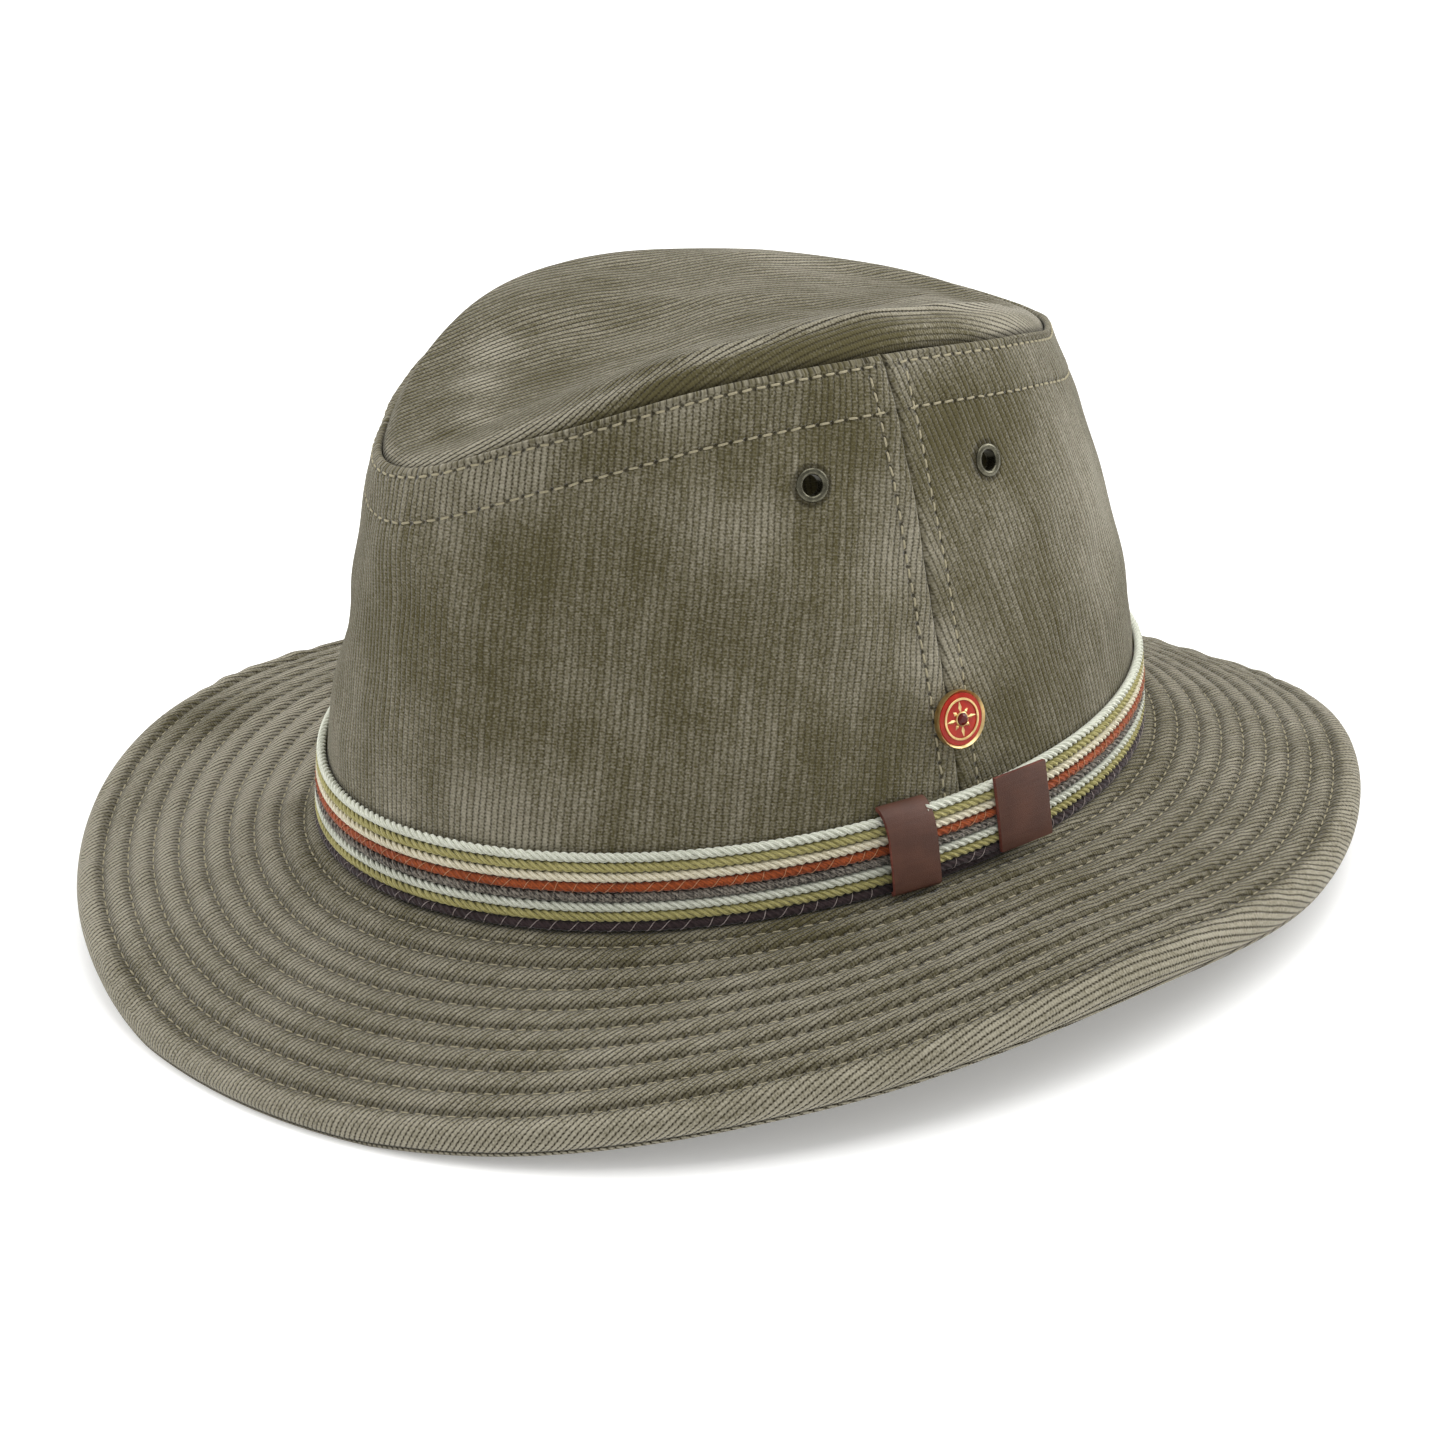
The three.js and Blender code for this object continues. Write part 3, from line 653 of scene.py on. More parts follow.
bpy.ops.object.select_all(action="DESELECT")
bpy.ops.mesh.primitive_cylinder_add(vertices=5, radius=0.5, depth=STITCH_MIDDLE)
stitch = bpy.context.object
bpy.ops.object.mode_set(mode="EDIT")
for heading in (1, -1):
    pick_faces(stitch, lambda middle, normal: normal.z * heading > 0.9)
    bpy.ops.mesh.extrude_region_move(TRANSFORM_OT_translate={"value": (0, 0, STITCH_END * heading)})
    bpy.ops.transform.resize(value=(END_THIN, END_THIN, 1))
bpy.ops.object.mode_set(mode="OBJECT")
stitch_points = np.array([v.co for v in stitch.data.vertices])
stitch_faces = [tuple(face.vertices) for face in stitch.data.polygons]
bpy.data.objects.remove(stitch)


def stitched(name, lines, slot, thick):
    """Stitches along lines, each given by its holes and the directions out of the cloth there."""
    middles, headings, outs, lengths = [], [], [], []
    for holes, normals in lines:
        gap = holes[1:] - holes[:-1]
        lengths.append(np.linalg.norm(gap, axis=1))
        headings.append(unit(gap))
        middles.append((holes[1:] + holes[:-1]) / 2)
        outs.append(unit(normals[1:] + normals[:-1]))
    middles, headings, outs = (np.concatenate(k)[:, None] for k in (middles, headings, outs))
    lengths = np.concatenate(lengths)[:, None, None]
    rng = np.random.default_rng(5)
    jitter = rng.normal(size=(len(middles), 1, 1))
    x, y, z = (stitch_points[None, :, k, None] for k in (0, 1, 2))
    beside = np.cross(outs, headings)
    skew = 0.05 * jitter * z * lengths
    points = (middles + headings * (z * lengths * (0.76 + 0.03 * jitter)) + beside * (x * thick + skew)
              + outs * (y * thick * 0.85 + 0.36 * thick - 1.4 * z ** 2))
    count = len(stitch_points)
    faces = [tuple(v + count * k for v in face) for k in range(len(middles)) for face in stitch_faces]
    around = np.arctan2(stitch_points[:, 1], stitch_points[:, 0]) / (2 * math.pi)
    pairs = np.stack([stitch_points[:, 2], around], 1)
    corners = np.tile(np.concatenate([pairs[list(face)] for face in stitch_faces]), (len(middles), 1))
    return new_piece(name, points.reshape(-1, 3), faces, {"thread": corners}, thread, slot)


def on_panel(panel, at, u):
    """Places on the side moved out or in to the panel's own face, with the way out there."""
    points, outs = side(at, u), wall_axes(at, u)[2]
    found = []
    for point, out in zip(points, outs):
        hit, place, _, _ = panel.ray_cast(Vector((point + SHIFT + out * 5) * 0.001), Vector(-out))
        found.append(np.array(place) * 1000 - SHIFT if hit else point)
    return np.array(found), outs


def below_tip(panel, start, end, below):
    """The holes of a row below the tip's seam on one panel."""
    angles = np.linspace(start, end, 600)
    runs = arc_length(side(angles, 1))
    at = np.interp(np.arange(0, runs[-1], CROWN_PITCH), runs, angles)
    return on_panel(panel, at, 1 - below / np.interp(at, angles, slant(angles)))


def beside_seam(panel, seam, way):
    """The holes of the row on one side of a seam at an ear, from the band up to the tip."""
    lowest = math.ceil(SEAM_STITCH_FROM / CROWN_PITCH) * CROWN_PITCH
    u = np.arange(lowest, slant(seam) - EDGE_STITCH, CROWN_PITCH) / slant(seam)
    apart = np.linalg.norm(side(seam + 0.5, u) - side(seam - 0.5, u), axis=-1)
    return on_panel(panel, seam + way * SEAM_STITCH / apart, u)


bpy.context.view_layer.update()
crown_lines = [below_tip(panel, start, end, below)
               for panel, (_, _, start, end, _) in zip(panels, PANELS)
               for below in (EDGE_STITCH, SECOND_STITCH)]
crown_lines += [beside_seam(panels[panel], seam, way)
                for panel, seam, way in ((0, LEFT_SEAM, -1), (1, LEFT_SEAM, 1),
                                         (1, RIGHT_SEAM, -1), (0, RIGHT_SEAM, 1))]
stitched("crown_stitches", crown_lines, "cotton", CROWN_THREAD)


# THE TIP
# One oval panel of the same cotton, its ribs along the hat. It is sewn in below the lip of the
# side and stands in a soft fold just inside it, then falls to a valley along the middle, where
# the hat is pinched.

VALLEY_HALF = 62
VALLEY_FRONT, VALLEY_MIDDLE, VALLEY_BACK = 99, 101, 95
TIP_LIFT, TIP_START, TIP_SUNK, TIP_CLOTH = 2.1, 1.8, 0.7, 1.5
TIP_RIBS = 1.55


def tip_sewing(wire):
    """No stitches show. The fold's crest is painted paler, as wear and as a painted highlight, and its
    slope to the edge gets painted shade; painted shadow lies where the tip goes in under the side's lip,
    and the grooves get more painted shade.
    """
    from_edge, from_fold = wire.pair("edge")
    # The crest is painted paler: wear and a painted highlight.
    crest = 1 - from_fold.size().step(0.3, 3.2)
    # The fold's slope towards the edge is painted darker as shade, with fainter grooves.
    slope = 1 - from_fold.step(-4, -1)
    # Painted shadow where the tip goes in under the side's lip.
    seam_shadow = 1 - from_edge.step(0.1, 1.1)
    # The tip's grooves get more painted shade than the side's.
    return 0, seam_shadow * 0.55, 0, crest * 0.4 - slope * 0.36 + 0.3, 1.6 - slope * 0.9


# Patches of washed-out and darker dye, and painted light and shade where the light on the tip falls
# brighter or dimmer.
TIP_WASH_AND_LIGHTING_PATCHES = (
    # middle, size, how pale
    ((30, 70, 126), 36, 0.9), ((-33, 54, 128), 24, 0.5), ((53, 44, 137), 24, 1.0),
    ((54, 18, 142), 18, 0.45), ((40, -44, 140), 14, -0.42), ((2, -71, 125), 11, -0.3),
    ((-21, -45, 133), 11, 0.6), ((-11, -55, 130), 10, 0.6), ((0, -66, 128), 8, 0.4),
    ((-24, -22, 134), 16, 0.15), ((6, -40, 130), 24, -0.1), ((60, -10, 140), 20, -0.15),
)
tip_cotton = ribbed_cotton("tip cotton", TIP_RIBS, tip_sewing, TIP_WASH_AND_LIGHTING_PATCHES)

tip_angle = np.linspace(0, 360, 417)[:-1, None]
seam_line = side(tip_angle, 1)
fold_cos = np.cos(np.radians(tip_angle))
valley_end = np.where(fold_cos > 0, VALLEY_FRONT, VALLEY_BACK)
valley_line = stack(0 * fold_cos, -VALLEY_HALF * fold_cos,
                    FOOT_HEIGHT + VALLEY_MIDDLE + (valley_end - VALLEY_MIDDLE) * fold_cos ** 2)
tip_reach = np.linalg.norm(seam_line - valley_line, axis=-1)


def tip_rows(edge_rows, count):
    """Distances in from the side's outer face: these near the edge, and so many to the valley."""
    edge = np.repeat(edge_rows[None], len(tip_angle), 0)
    rest = edge_rows[-1] + (tip_reach - edge_rows[-1]) * spaced(0, (1, 1 / count))[None, 1:]
    return np.concatenate([edge, rest], 1)


# The fold is sharp along the left side only, and soft elsewhere.
sharp = np.sqrt(np.clip(np.sin(np.radians(tip_angle)), 0, 1)) * station("crest", tip_angle) / 4.5


def tip_surface(distance, lift, seed=None):
    """The tip this far in from the side's outer face, and this far above its seam."""
    v = distance / tip_reach
    fold = station("fold", tip_angle) / tip_reach
    crest = seam_line[..., 2] + station("crest", tip_angle)
    rising = seam_line[..., 2] + (crest - seam_line[..., 2]) * np.sin(
        math.pi / 2 * np.minimum(v / fold, 1))
    falling = (1 - np.cos(math.pi * np.clip((v - fold) / (1 - fold), 0, 1))) / 2
    height = np.where(v < fold, rising, crest + (valley_line[..., 2] - crest) * falling)
    sewn_in = np.clip((distance - TIP_START) / 3.4, 0, 1) ** 0.6
    lift = lift + (TIP_LIFT + TIP_SUNK) * sewn_in
    point = seam_line + (valley_line - seam_line) * v[..., None]
    point[..., 2] = height + lift + 1.2 * sharp * groove(distance - station("fold", tip_angle), 1.6)
    if seed:
        loose = np.clip((distance - 5) / 10, 0, 1)
        point[..., 2] += loose * (0.6 * ripple(point, 40, seed) + 0.25 * ripple(point, 15, seed + 1))
    return point


def tip_maps(distance, points):
    """How far each point is from the edge and the fold, and where it lies on the panel before
    it was folded, its ribs along Y."""
    from_fold = distance - station("fold", tip_angle) + 7 * np.clip(1 - sharp, 0, 1)
    arc = np.zeros(points.shape[:2])
    arc[:, 1:] = np.cumsum(np.linalg.norm(np.diff(points[:, ::-1], axis=1), axis=-1), 1)
    flat = valley_line[..., :2] + unit((seam_line - valley_line)[..., :2]) * arc[:, ::-1, None]
    # In front the ribs lean, as the cloth was pulled there, except beside the sharp fold.
    front = np.clip((-5 - points[..., 1]) / 70, 0, 1)
    middle = np.clip((42 - points[..., 0]) / 30, 0, 1)
    flat[..., 0] -= 1.1 * (points[..., 2] - 133) * (3 - 2 * front) * front ** 2 * (
        3 - 2 * middle) * middle ** 2
    maps = {"edge": np.stack([distance - TIP_START, from_fold], -1), "cloth": flat}
    return {title: np.concatenate([pairs, pairs[:1]]) for title, pairs in maps.items()}


tip_out = tip_rows(spaced(TIP_START, (5, 0.5), (17, 0.9)), 38)
tip_in = tip_rows(np.array([TIP_START, 5, 10, 17]), 9)
tip_upper = tip_surface(tip_out, -TIP_SUNK, 31)
tip_lower = tip_surface(tip_in, -TIP_SUNK - TIP_CLOTH)
tip_panel = sewn_wall("tip_panel", tip_upper, tip_lower, tip_maps(tip_out, tip_upper),
                      tip_maps(tip_in, tip_lower), tip_cotton, "cotton", ring=True, zipped=True)
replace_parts(tip_panel, "crown_tip")


# THE BRIM
# Two cloths of the same cotton, cut round the head, sewn together at the edge and quilted in
# nine rings of stitches. The cloth puffs between the rings and over the padded border. The
# under cloth shows as a thin lip below the edge, and lies flat where the hat rests.

BRIM_CLOTH, BRIM_GAP, BRIM_WAVE = 1.4, 0.15, 0.2
LAST_ROW, FIRST_ROW, BORDER = 8, 4.8, 6.4
PUFF, RIM_PUFF, UNDER_PUFF = 1.1, 1.7, 0.4
STITCHES_FIRST, STITCHES_MORE = 181, 10
EDGE_ROUND, EDGE_SEAM, BRIM_RIBS = 2.6, 1.6, 1.15
LIP_ROUND, LIP_OUT = 1.2, 0.45
# About how far apart the rows are, and what the maps give as the way from the edge where the
# brim is far from it and at its raw inner edge.
ROW_TO_ROW = 5.4
FAR, INNER_EDGE = 9.0, 20


def brim(angle, s, height):
    """The brim: s runs from the crown's foot, 0, to the edge, 1, and height is off the middle."""
    angle, s = np.broadcast_arrays(np.asarray(angle, float), np.asarray(s, float))
    reach, roll = station("reach", angle), station("roll", angle)
    drop = station("drop", angle) - roll
    border = BORDER / reach
    inside = np.maximum(0, (s - 1 + border) / border)
    fall = np.where(s > 0, drop * (s + BRIM_WAVE * np.sin(2 * math.pi * s) / (2 * math.pi))
                    + roll * inside ** 2, 0)
    slope = np.where(s > 0, drop * (1 + BRIM_WAVE * np.cos(2 * math.pi * s))
                     + 2 * roll * inside / border, 0)
    steep = np.hypot(reach, slope)
    point = foot(angle)
    middle = point[..., 2] - BRIM_CLOTH - BRIM_GAP - fall
    lowest = middle - (BRIM_CLOTH + BRIM_GAP) * reach / steep
    point = point + outward(angle) * (reach * s + height * slope / steep)[..., None]
    point[..., 2] = np.maximum(middle + height * reach / steep + np.maximum(0, -lowest), 0.02)
    return point


def brim_width(angle):
    """How wide the brim is along its cloth."""
    return np.hypot(station("reach", angle), station("drop", angle))


def row_pitch(angle):
    return (brim_width(angle) - FIRST_ROW - BORDER) / LAST_ROW


def brim_sewing(wire):
    """The rings of stitches with the cloth drawn in along them, with painted shade in their holes and
    valleys and along the seam at the edge. The edge is painted paler, as wear and as rim light, and
    painted shade lies along the foot of the crown and on the raw inner edge, which shows no ribs."""
    around, row_place = wire.pair("rows")
    from_edge, _ = wire.pair("edge")
    row = (row_place + 0.5).floor()
    quilted = row_place.step(-0.2, -0.1) * (1 - row_place.step(8.2, 8.3))
    off = (row_place - row) * ROW_TO_ROW
    count = row * STITCHES_MORE + STITCHES_FIRST
    holes = pricks(around, count, off) * quilted * 0.5
    # Painted shade in the valleys along the rows.
    valley = (1 - off.size().step(0.0, 2.1)) * quilted
    # Painted shade along the seam between the upper cloth and the lip.
    seam = 1 - from_edge.size().step(0.3, 0.9)
    pucker = (around * count * (2 * math.pi)).sine() * (1 - off.size().step(0.4, 2.6)) * quilted * 0.4
    border = row_place.step(8.15, 8.5)
    # Painted shadow of the crown's foot on the brim beside the band.
    near = 1 - row_place.step(-0.5, 1.8)
    # The raw inner edge, under the crown, gets painted shade and no ribs.
    raw = from_edge.step(12, 19)
    # The edge is painted paler: wear and painted rim light.
    worn = 1 - from_edge.step(1.2, 4.6)
    shade = near * 0.22 + valley * 0.16 + raw * 0.4
    return (holes, (valley * 0.42).over(seam * 0.9), pucker, border * 0.2 + worn * 0.2 + 0.56 - shade,
            1.15 - raw * 1.15 - border * 0.4)


# Paler patches of washed-out dye, and painted light and shade where the light on the brim falls brighter
# or dimmer, with painted shade below the band.
BRIM_WASH_AND_LIGHTING_PATCHES = (
    # middle, size, how pale
    ((-60, -119, 19), 50, 0.36), ((-75, -83, 24), 34, 0.45), ((-112, -74, 22), 28, -0.25),
    ((66, -82, 24), 26, -0.22), ((84, -48, 26), 26, -0.25), ((94, -12, 27), 22, -0.2),
    ((-14, -124, 17), 30, 0.14), ((90, 113, 18), 18, -0.3), ((64, 126, 19), 24, 0.4),
    ((-40, -141, 13), 30, 0.12), ((96, 5, 27), 26, -0.25), ((107, -45, 23), 36, -0.1),
    ((112, 30, 24), 34, -0.15), ((93, 92, 20), 45, 0.12), ((53, 106, 24), 30, 0.1),
    ((-84, -58, 25), 32, 0.8), ((-58, -78, 26), 18, 0.5), ((-106, -80, 22), 20, -0.2),
    ((14, -118, 19), 26, 0.14), ((96, 66, 24), 26, -0.15),
)
brim_cotton = ribbed_cotton("brim cotton", BRIM_RIBS, brim_sewing, BRIM_WASH_AND_LIGHTING_PATCHES)

round_brim = np.linspace(0, 360, 601)
brim_angle = round_brim[:-1, None]
width, pitch = brim_width(brim_angle), row_pitch(brim_angle)
turn_fraction = arc_length(brim(round_brim, 0.55, 0))
turn_fraction /= turn_fraction[-1]


def brim_maps(place, from_edge, face):
    """The cloth's places, and turns and rows, this far out from the crown in millimetres."""
    row = (place - FIRST_ROW) / pitch
    row = np.where(row > LAST_ROW, LAST_ROW + (row - LAST_ROW) * pitch / BORDER, row)
    flat = foot(brim_angle) + outward(brim_angle) * place[..., None]
    turns = turn_fraction[:, None]
    from_edge = np.where(np.arange(place.shape[1]) > 0, from_edge, INNER_EDGE)
    maps = {"cloth": np.concatenate([flat, flat[:1]])[..., :2],
            "rows": np.stack(np.broadcast_arrays(turns, np.concatenate([row, row[:1]])), -1),
            "edge": np.stack(np.broadcast_arrays(from_edge, 0 * turns), -1)}
    return {title: pairs[:, ::-face] for title, pairs in maps.items()}


def quilting(place, height, seed):
    """The puffs between the rows: pulled down along every row and uneven round the brim."""
    row = (place - FIRST_ROW) / pitch
    puffed = np.abs(np.sin(math.pi * (row - np.floor(row)))) ** 0.55
    first = 0.7 * np.sin(math.pi * np.clip(place / FIRST_ROW, 0, 1)) ** 0.8
    rim = np.clip((place - FIRST_ROW - LAST_ROW * pitch) / BORDER, 0, 1)
    last = RIM_PUFF / PUFF * np.sin(math.pi * np.clip(rim, 0, 0.5)) ** 0.55
    shape = np.where(row < 0, first, np.where(row > LAST_ROW, last, puffed))
    flat = brim(brim_angle, place / width, 0)
    uneven = 1 + 0.16 * ripple(flat, 9, seed) + 0.1 * ripple(flat, 30, seed + 1)
    turned = np.radians(brim_angle)
    creases = 0.09 * ripple(stack(120 * np.cos(turned), 120 * np.sin(turned), row * 9), 6, seed + 2)
    return height * shape * uneven + np.where(row < LAST_ROW, creases * shape, 0)


def quilted_cloth(name, node, slot, face, between, puff, seed, edge):
    """One cloth of the brim, the upper with face 1 or the lower with face -1, with so many
    places between two rows. Its edge turns under: each place there has how far out it is, how
    high, where it lies on the cloth, and how far it is from the seam."""
    rows = FIRST_ROW + pitch * spaced(0, (LAST_ROW, 1 / between))
    first = np.repeat(spaced(-CLOTH, (FIRST_ROW, 1.0))[None, :-1], len(pitch), 0)
    rim = rows[:, -1:] + (BORDER - EDGE_ROUND) * spaced(0, (1, 1 / 6))[1:]
    places = np.concatenate([first, rows, rim], 1)
    open_cloth = brim(brim_angle, places / width,
                      face * (BRIM_GAP + BRIM_CLOTH + quilting(places, puff, seed)))
    out, high, along, from_seam = edge
    outer = np.concatenate([open_cloth, brim(brim_angle, out / width, high)], 1)
    outer_maps = brim_maps(np.concatenate([places, along], 1),
                           np.concatenate([np.full(places.shape[1], FAR), from_seam]), face)
    hidden = -CLOTH + (width + CLOTH - EDGE_SEAM) * spaced(0, (1, 1 / 8))
    inner = brim(brim_angle, hidden / width, face * BRIM_GAP * 0.3)
    piece = sewn_wall(name, outer[:, ::-face], inner[:, ::-face], outer_maps,
                      brim_maps(hidden, FAR, face), brim_cotton, slot, ring=True)
    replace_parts(piece, node)


turn = np.radians(np.array([15, 30, 45, 60, 75, 90, 106]))
top_height = BRIM_GAP + BRIM_CLOTH + RIM_PUFF
quilted_cloth("brim_upper_cloth", "brim_top", "cotton", 1, 7, PUFF, 41, (
    width - EDGE_ROUND + EDGE_ROUND * np.sin(turn), top_height * np.cos(turn),
    width - EDGE_ROUND + (EDGE_ROUND + top_height) / 2 * turn, 3.0 * (turn[-1] - turn)))
turn = np.radians(np.array([15, 45, 75, 105, 135, 165]))
quilted_cloth("brim_under_cloth", "brim_under", "cotton_under", -1, 5, UNDER_PUFF, 47, (
    width + LIP_OUT - LIP_ROUND + LIP_ROUND * np.sin(turn), -1.15 - 0.6 * np.cos(turn),
    width - LIP_ROUND + turn, 1.1 * (turn[-1] - turn)))


def brim_line(row, face):
    """The holes of one ring of stitches, on the upper face, 1, or the lower face, -1."""
    count = STITCHES_FIRST + STITCHES_MORE * row
    angles = np.interp(np.arange(count + 1) / count, turn_fraction, round_brim)
    s = (FIRST_ROW + row_pitch(angles) * row) / brim_width(angles)
    holes = brim(angles, s, face * (BRIM_GAP + BRIM_CLOTH))
    return holes, unit(brim(angles, s, face * 9.0) - brim(angles, s, 0))


for name, face, slot, thick in (("brim_stitches_upper", 1, "cotton", 0.46),
                                ("brim_stitches_lower", -1, "cotton_under", 0.4)):
    stitched(name, [brim_line(row, face) for row in range(LAST_ROW + 1)], slot, thick)


# THE BAND
# Eight cotton cords laid one above another round the foot of the crown: mint, lime, cream,
# rust, grey marl, mint, lime and aubergine from the top. Each is three plies laid together.
# Rust and aubergine are smooth, with a fine thread wound round them.

BAND_LIFT, BAND_PITCH, BAND_PROUD = 0.4, 2.25, 0.3
TAIL_LIFT, TAIL_PITCH, TAIL_PROUD = 3.1, 2.05, 2.8
TAIL = 82.4, 94
LAY, SQUEEZE = 5.9, 0.04
CORDS = (
    # name, darker and lighter yarn, a ply's share of the cord's radius
    ("aubergine", (28, 18, 20), (64, 49, 50), 0.72),
    ("lime_low", (136, 128, 72), (192, 184, 124), 0.5),
    ("mint_low", (180, 182, 165), (232, 234, 219), 0.5),
    ("marl", (40, 35, 32), (152, 144, 132), 0.52),
    ("rust", (102, 42, 14), (176, 86, 40), 0.72),
    ("cream", (194, 186, 156), (246, 238, 216), 0.5),
    ("lime_high", (138, 130, 74), (195, 187, 128), 0.5),
    ("mint_high", (186, 188, 171), (237, 239, 224), 0.5),
)


def yarn_finish(name, dark, light):
    """Soft cotton yarn: fine fibres lie aslant along each ply, darker between them."""
    finish, shader, wire = new_finish(name + " yarn", {
        "Roughness": 0.88, "Specular IOR Level": 0.25, "Sheen Weight": 0.2, "Sheen Roughness": 0.5})
    along, around = wire.pair("ply")
    fibres = ((around * 5 - along * 0.55) * (2 * math.pi)).sine() * 0.5 + 0.5
    fluff = wire.place().grain(0.0005, 3, 0.6)
    marl = wire.join(along * 0.9, around * 2.5).grain(0.6, 2)
    blotch = wire.place().grain(0.012, 2)
    shade = fibres * 0.3 + fluff * 0.5 + (marl - 0.5) * (2.4 if name == "marl" else 0.6)
    shade = shade + (blotch - 0.5) * 0.4 + 0.1
    feed(shader, "Base Color", shade.step(0, 1).mix(srgb(*dark), srgb(*light)))
    bump(shader, fibres * 0.6 + fluff, 0.00012)
    return finish


def band_path(angles, along, proud):
    """A line round the side, with the ways up the cloth and out of it."""
    u = along / np.hypot(station("rise", angles), station("lean", angles))
    _, up, out = wall_axes(angles, u)
    return side(angles, u, proud), up, out


def tube(path, first, second, radius, sides, length, closed=False):
    """Points, faces and UV pairs of a tube round a path, from two directions across it. The
    first of each pair grows by this length from one point of the path to the next."""
    around = np.linspace(0, 2 * math.pi, sides + 1)[:-1]
    ring = (np.cos(around)[None, :, None] * first[:, None]
            + np.sin(around)[None, :, None] * second[:, None])
    points = (path[:, None] + radius * ring).reshape(-1, 3)
    count = len(path)
    i, j = (k.ravel() for k in np.meshgrid(
        np.arange(count if closed else count - 1), np.arange(sides), indexing="ij"))
    beside = np.stack([i, i, i + 1, i + 1], 1)
    across = np.stack([j, j + 1, j + 1, j], 1)
    faces = beside % count * sides + across % sides
    corners = np.stack([beside * length, across / sides], -1).reshape(-1, 2)
    if closed:
        return points, faces.tolist(), corners
    caps = [list(range(sides))[::-1], list(range(len(points) - sides, len(points)))]
    return points, faces.tolist() + caps, np.concatenate([corners, np.zeros((2 * sides, 2))])


def laid(name, tubes, finish):
    """One piece of the band from many tubes."""
    points, faces, corners = zip(*tubes)
    starts = running([len(k) for k in points])
    faces = [[start + k for k in face] for start, own in zip(starts.tolist(), faces) for face in own]
    return new_piece(name, np.concatenate(points), faces, {"ply": np.concatenate(corners)},
                     finish, "cords")


def plies(angles, along, proud, radius, share, turns, seed, closed=False):
    """Three plies twisted together along the crown's side."""
    centre, up, out = band_path(angles, along, proud)
    reach = radius - radius * share
    total = len(angles) if closed else len(angles) - 1
    phase = 2 * math.pi * turns * np.arange(len(angles)) / total
    rng = np.random.default_rng(seed)
    for ply in range(3):
        swing = phase + ply * 2 * math.pi / 3 + 0.12 * np.sin(phase * 0.13 + rng.uniform(0, 6))
        path = centre + reach * (np.cos(swing)[:, None] * up + np.sin(swing)[:, None] * out)
        yield tube(path, up, out, radius * share, 6, LAY * turns / total, closed)


round_angles = np.linspace(0, 360, 2001)
yarns = [yarn_finish(name, dark, light) for name, dark, light, _ in CORDS]
for rank, (name, _, _, share) in enumerate(CORDS):
    along = BAND_LIFT + BAND_PITCH * (rank + 0.5)
    radius = BAND_PITCH / 2 + SQUEEZE
    runs = arc_length(band_path(round_angles, along, BAND_PROUD + radius)[0])
    turns = round(runs[-1] / LAY)
    at = np.interp(np.arange(turns * 12) / (turns * 12) * runs[-1], runs, round_angles)
    cord = plies(at, along, BAND_PROUD + radius, radius, share, turns, rank, closed=True)
    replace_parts(laid("cord_" + name, cord, yarns[rank]), "hatband")
    along = TAIL_LIFT + TAIL_PITCH * (rank + 0.5)
    radius = TAIL_PITCH / 2 + SQUEEZE
    tail = plies(np.linspace(*TAIL, 40), along, TAIL_PROUD + radius, radius, share, 3.4, rank)
    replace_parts(laid("tail_" + name, tail, yarns[rank]), "hatband_tail")


def wound_thread(name, rank, spacing, dark, light):
    """A fine thread wound round a smooth cord, of which the slanting turns in front show."""
    finish = yarn_finish(name, dark, light)
    rng = np.random.default_rng(rank)
    tubes = []
    for lift, pitch, proud, start, end in (
            (BAND_LIFT, BAND_PITCH, BAND_PROUD, 100, 436), (TAIL_LIFT, TAIL_PITCH, TAIL_PROUD, 84.5, 92)):
        radius = pitch / 2 + SQUEEZE
        along = lift + pitch * (rank + 0.5)
        angles = np.linspace(start, end, 1500)
        runs = arc_length(band_path(angles, along, proud + radius)[0])
        for run in np.arange(1, runs[-1] - 1, spacing) + rng.uniform(-0.5, 0.5):
            swing = np.linspace(-1.25, 1.25, 6)
            lean = 1.0 + rng.uniform(-0.5, 0.6)
            at = np.interp(run + swing * lean * 0.75 + rng.uniform(-1.0, 1.0), runs, angles)
            centre, up, out = band_path(at, along, proud + radius)
            path = centre + (radius + 0.02) * (np.sin(swing)[:, None] * up + np.cos(swing)[:, None] * out)
            tangent = unit(np.gradient(path, axis=0))
            first = unit(np.cross(tangent, out))
            tubes.append(tube(path, first, np.cross(tangent, first), 0.1, 4, 1))
    laid(name, tubes, finish)


wound_thread("thread_on_rust", 4, 3.7, (196, 120, 78), (232, 176, 132))
wound_thread("thread_on_aubergine", 0, 4.1, (150, 132, 128), (206, 192, 186))


# THE KEEPERS
# Two strips of smooth brown leather round the band. The front one hooks in under the lowest
# cord and curves back to the crown over the top one. The back one lies flat across the end
# of the band. Their cut edges are rougher and redder.

LEATHER_THICK = 1.1
FRONT_KEEPER, FRONT_WIDTH = 79.7, 12
BACK_KEEPER, BACK_WIDTH, BACK_TURN = 95.8, 14.8, -5
# How the back strip is moved from its solid, in metres.
BACK_SHIFT = (0.0012, -0.0004, 0.0005)
# The middle of each strip's thickness: up the crown and out from it.
FRONT_PATH = [(0.85, 4.0), (0.95, 4.7), (1.4, 5.2), (2.2, 5.35), (7, 5.4), (12, 5.3)] + [
    (12 + 7.65 * math.sin(a), 0.3 + 5.0 * math.cos(a)) for a in np.radians(np.arange(12, 91, 13))]
BACK_PATH = [(2.7, 5.3), (6, 5.42), (11.5, 5.48), (17, 5.42), (20.3, 5.3)]


